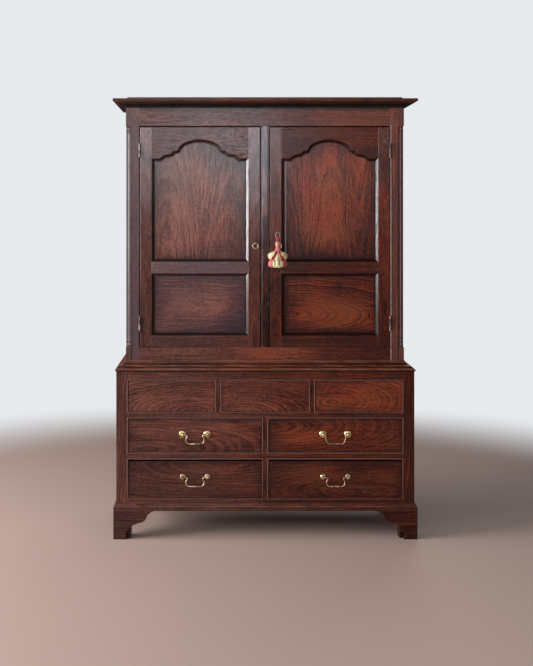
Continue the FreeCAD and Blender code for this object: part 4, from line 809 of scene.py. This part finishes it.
def mesh_piece(name, vertices, faces, materials, marks=None, uvs=None):
    """A smooth piece. marks gives each face's material, and uvs each vertex's UV coordinates."""
    mesh = bpy.data.meshes.new(name)
    mesh.from_pydata(vertices, [], faces)
    for material in materials:
        mesh.materials.append(material)
    if uvs:
        layer = mesh.uv_layers.new(name="petal")
        for loop in mesh.loops:
            layer.data[loop.index].uv = uvs[loop.vertex_index]
    for index, polygon in enumerate(mesh.polygons):
        polygon.use_smooth = True
        if marks:
            polygon.material_index = marks[index]
    return add_object(name, mesh)


def nurbs_points(route, name):
    """Points along the smooth spline that has the route as its control points."""
    curve = bpy.data.curves.new(name, "CURVE")
    curve.dimensions = "3D"
    curve.resolution_u = 10
    spline = curve.splines.new("NURBS")
    spline.points.add(len(route) - 1)
    for point, place in zip(spline.points, route):
        point.co = (*place, 1.0)
    spline.order_u = 3
    spline.use_endpoint_u = True
    holder = add_object(name, curve)
    line = bpy.data.meshes.new_from_object(holder)
    points = [vertex.co.copy() for vertex in line.vertices]
    bpy.data.objects.remove(holder)
    bpy.data.meshes.remove(line)
    return points


def corners_round(sides):
    return [2 * math.pi * corner / sides for corner in range(sides)]


def tube(start, rows, sides):
    """The faces of a tube from rows of vertices, the first of which has the number start, and of
    its two ends."""
    faces = []
    for row in range(rows - 1):
        for corner in range(sides):
            a = start + row * sides + corner
            b = start + row * sides + (corner + 1) % sides
            faces.append((a, b, b + sides, a + sides))
    for end in (start, start + (rows - 1) * sides):
        faces.append(tuple(range(end, end + sides)))
    return faces


def strands(path, count, strand_radius, offset, twist, step_length=0.0006, sides=8):
    """Strands twisted round a path, as vertices, faces and a strand number for each face."""
    finer = []
    for first, second in zip(path, path[1:]):
        steps = max(1, math.ceil((second - first).length / step_length))
        finer += [first.lerp(second, step / steps) for step in range(steps)]
    finer.append(path[-1])
    vertices, faces, marks = [], [], []
    for strand in range(count):
        start = len(vertices)
        gone = 0.0
        for index, place in enumerate(finer):
            before = finer[max(index - 1, 0)]
            after = finer[min(index + 1, len(finer) - 1)]
            forward = (after - before).normalized()
            side = forward.cross(Vector((0.0, 1.0, 0.0))).normalized()
            up = side.cross(forward)
            if index:
                gone += (place - finer[index - 1]).length
            turn = 2 * math.pi * (gone / twist + strand / count)
            middle = place + offset * (math.cos(turn) * side + math.sin(turn) * up)
            for angle in corners_round(sides):
                vertices.append(middle + strand_radius * (math.cos(angle) * side + math.sin(angle) * up))
        skin = tube(start, len(finer), sides)
        faces += skin
        marks += [strand] * len(skin)
    return vertices, faces, marks


def turned(profile, ribs, winds, sides=72):
    """A shape turned about the tassel's upright line. profile is a list of (radius, z), ribs gives
    the number and the depth of the upright ribs at a height, and winds the pitch and the depth of
    the thread wound round it."""
    vertices = []
    for radius, z in profile:
        rib_count, rib = ribs(z)
        pitch, wind = winds(z)
        for angle in corners_round(sides):
            r = radius + rib * abs(math.cos(rib_count * angle / 2)) - rib
            r += wind * math.cos(2 * math.pi * z / pitch + angle)
            vertices.append((KEY_X + r * math.sin(angle), TASSEL_Y - FLATNESS * r * math.cos(angle), z))
    return vertices, tube(0, len(profile), sides)


def smooth_profile(points, steps):
    """Points on a smooth line through (radius, z) points."""
    result = []
    for index in range(len(points) - 1):
        p0 = points[max(index - 1, 0)]
        p1, p2 = points[index], points[index + 1]
        p3 = points[min(index + 2, len(points) - 1)]
        for step in range(steps):
            t = step / steps
            result.append(tuple(0.5 * (2 * b + (c - a) * t + (2 * a - 5 * b + 4 * c - d) * t * t
                                       + (3 * b - a - 3 * c + d) * t ** 3)
                                for a, b, c, d in zip(p0, p1, p2, p3)))
    result.append(points[-1])
    return result


def spread_value(stops, t):
    """A smooth value through (place, value) stops."""
    for (t0, v0), (t1, v1) in zip(stops, stops[1:]):
        if t <= t1:
            share = (t - t0) / (t1 - t0)
            share = share * share * (3 - 2 * share)
            return v0 + (v1 - v0) * share
    return stops[-1][1]


def petal(angle, half_width, width_stops, line_stops, puff, mark, seed, across=26, down=26, scallop=0.0):
    """One stuffed petal, closed all round. puff is how far it swells, mark its material and scallop
    the depth of the waves along its lower edge."""
    vertices, faces, uvs = [], [], []
    outward = Vector((math.sin(angle), -math.cos(angle), 0.0))
    sideways = Vector((math.cos(angle), math.sin(angle), 0.0))
    grid = {}
    for layer in (0, 1):
        for j in range(down + 1):
            v = j / down
            radius = spread_value([(t, r) for t, r, z in line_stops], v)
            z = spread_value([(t, z) for t, r, z in line_stops], v)
            width = half_width * spread_value(width_stops, v)
            for i in range(across + 1):
                u = 2 * i / across - 1
                edge = j in (0, down) or i in (0, across)
                if layer == 1 and edge:
                    grid[1, i, j] = grid[0, i, j]
                    continue
                swell = (1 - u * u) ** 0.55 * math.sin(math.pi * v) ** 0.5
                fold = 0.5 + 0.5 * math.cos(u * 9.0 + seed) * (1 - v) ** 1.2
                wrinkle = noise.noise(Vector((u * 2.4, v * 3.1, seed * 3.7))) * 0.0016
                out = puff * swell * (0.8 + 0.2 * fold) + wrinkle * swell
                if layer == 1:
                    out = -0.35 * out
                place = outward * (radius + out - 0.42 * (u * width) ** 2 / max(radius, 0.012))
                place += sideways * (u * width)
                droop = 0.10 * width * u * u * v + scallop * math.cos(3 * math.pi * u) * v ** 3
                place = Vector((place.x, place.y * FLATNESS, z + droop))
                vertices.append(place + Vector((KEY_X, TASSEL_Y, 0.0)))
                uvs.append((0.5 + 0.5 * u * width / half_width, v))
                grid[layer, i, j] = len(vertices) - 1
    for layer in (0, 1):
        for j in range(down):
            for i in range(across):
                face = [grid[layer, *place] for place in ((i, j), (i + 1, j), (i + 1, j + 1), (i, j + 1))]
                faces.append(tuple(face if layer == 0 else face[::-1]))
    return vertices, faces, uvs, [mark] * len(faces)


def sleeve(legs, low, high, depth, pitch, sides=40, rows=90):
    """Thread wound flat round the two legs of the cord. legs gives their half distance at a height."""
    vertices = []
    for row in range(rows + 1):
        z = low + (high - low) * row / rows
        closing = min(1.0, 6.0 * min(row, rows - row) / rows)
        wide = (legs(z) + 0.0024) * (0.72 + 0.28 * math.sqrt(closing))
        deep = depth * (0.6 + 0.4 * math.sqrt(closing))
        for angle in corners_round(sides):
            swell = 0.00030 * math.cos(2 * math.pi * z / pitch + angle)
            vertices.append((KEY_X + (wide + swell) * math.sin(angle),
                             TASSEL_Y - (deep + swell) * math.cos(angle), z))
    return vertices, tube(0, rows + 1, sides)


def make_petals(cloths):
    """Two tiers of stuffed petals, and narrow bands between the upper ones."""
    cream, cream_low, tan, blush, pink, red = range(len(cloths))
    uppers = [(0, cream, 0.0150, LOZENGE, UPPER_LINE), (50, tan, 0.0185, CORNER, SIDE_LINE),
              (122, cream, 0.0185, CORNER, SIDE_LINE), (180, blush, 0.0150, LOZENGE, UPPER_LINE),
              (-122, cream, 0.0185, CORNER, SIDE_LINE), (-50, blush, 0.0185, CORNER, SIDE_LINE)]
    bands = [(24, red), (88, pink), (150, red), (-150, red), (-88, pink), (-24, red)]
    lowers = [(0, cream_low, 0.0245), (62, red, 0.0175), (119, pink, 0.0155), (180, cream_low, 0.0205),
              (-119, red, 0.0155), (-62, pink, 0.0175)]
    parts = [petal(math.radians(degrees), width, outline, line, 0.0058, mark, 1.0 + number)
             for number, (degrees, mark, width, outline, line) in enumerate(uppers)]
    parts += [petal(math.radians(degrees), 0.0066, BAND, BAND_LINE, 0.0052, mark, 11.0 + number, across=14)
              for number, (degrees, mark) in enumerate(bands)]
    parts += [petal(math.radians(degrees), width, CUP, LOWER_LINE, 0.0062, mark, 21.0 + number,
                    scallop=0.0022)
              for number, (degrees, mark, width) in enumerate(lowers)]
    vertices, faces, uvs, marks = [], [], [], []
    for part in parts:
        start = len(vertices)
        vertices += part[0]
        faces += [tuple(corner + start for corner in face) for face in part[1]]
        uvs += part[2]
        marks += part[3]
    petals = mesh_piece("tassel_petals", vertices, faces, cloths, marks, uvs)
    finer = petals.modifiers.new("finer", "SUBSURF")
    finer.levels = 1
    finer.render_levels = 1
    return petals


def make_tassel():
    cloths = [thread("petal_cream", (0.80, 0.70, 0.34), (0.86, 0.79, 0.50),
                     [(0.50, 0.08, 0.30, 0.97), (0.74, 0.05, 0.55, 0.9)]),
              thread("petal_cream_low", (0.78, 0.68, 0.32), (0.84, 0.76, 0.46),
                     [(0.22, 0.07, 0.05, 0.75), (0.62, 0.08, 0.02, 0.62)]),
              thread("petal_tan", (0.62, 0.40, 0.12), (0.76, 0.58, 0.26)),
              thread("petal_blush", (0.74, 0.50, 0.28), (0.80, 0.66, 0.40)),
              thread("petal_pink", (0.56, 0.055, 0.085), (0.66, 0.17, 0.18)),
              thread("petal_red", (0.42, 0.012, 0.016), (0.55, 0.035, 0.036))]
    salmon = thread("salmon_thread", (0.66, 0.10, 0.09), (0.80, 0.27, 0.22))
    peach = thread("peach_thread", (0.62, 0.24, 0.17), (0.70, 0.36, 0.28))
    pale = thread("pale_thread", (0.62, 0.50, 0.40), (0.74, 0.64, 0.52))
    wound = thread("wound_thread", (0.30, 0.012, 0.018), (0.46, 0.05, 0.06))

    # The cord: two pale strands and a salmon one, twisted, with red thread wound round its two legs.
    path = nurbs_points(CORD_ROUTE, "cord_line")
    vertices, faces, marks = strands(path, 3, 0.00080, 0.00092, 0.0086)
    cord = mesh_piece("tassel_cord_strands", vertices, faces, [pale, salmon, pale], marks)
    vertices, faces = sleeve(lambda z: spread_value(CORD_LEGS, z), *WHIPPED, 0.0036, 0.0017)
    whipping = mesh_piece("tassel_whipping", vertices, faces, [wound])

    # The knot, the neck of threads that fans out under it, and the petals' round core.
    vertices, faces = turned(smooth_profile(KNOT, 10), lambda z: (1, 0.0), lambda z: (0.0021, 0.00032))
    knot = mesh_piece("tassel_knot", vertices, faces, [peach])
    vertices, faces = turned(smooth_profile(NECK, 10),
                             lambda z: (14, 0.0005 + 0.0022 * max(0.0, (1.298 - z) / 0.036)),
                             lambda z: (0.0026, 0.00020 if z > 1.292 else 0.0), sides=168)
    neck = mesh_piece("tassel_neck", vertices, faces, [salmon])
    vertices, faces = turned(smooth_profile(CORE, 6), lambda z: (18, 0.0012), lambda z: (1.0, 0.0),
                             sides=108)
    core = mesh_piece("tassel_core", vertices, faces, cloths[-1:])
    petals = make_petals(cloths)

    for piece in (knot, neck, core, petals):
        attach(piece, "tassel")
        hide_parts("tassel")
    for piece in (cord, whipping):
        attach(piece, "tassel")
        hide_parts("tassel_cord")


make_tassel()
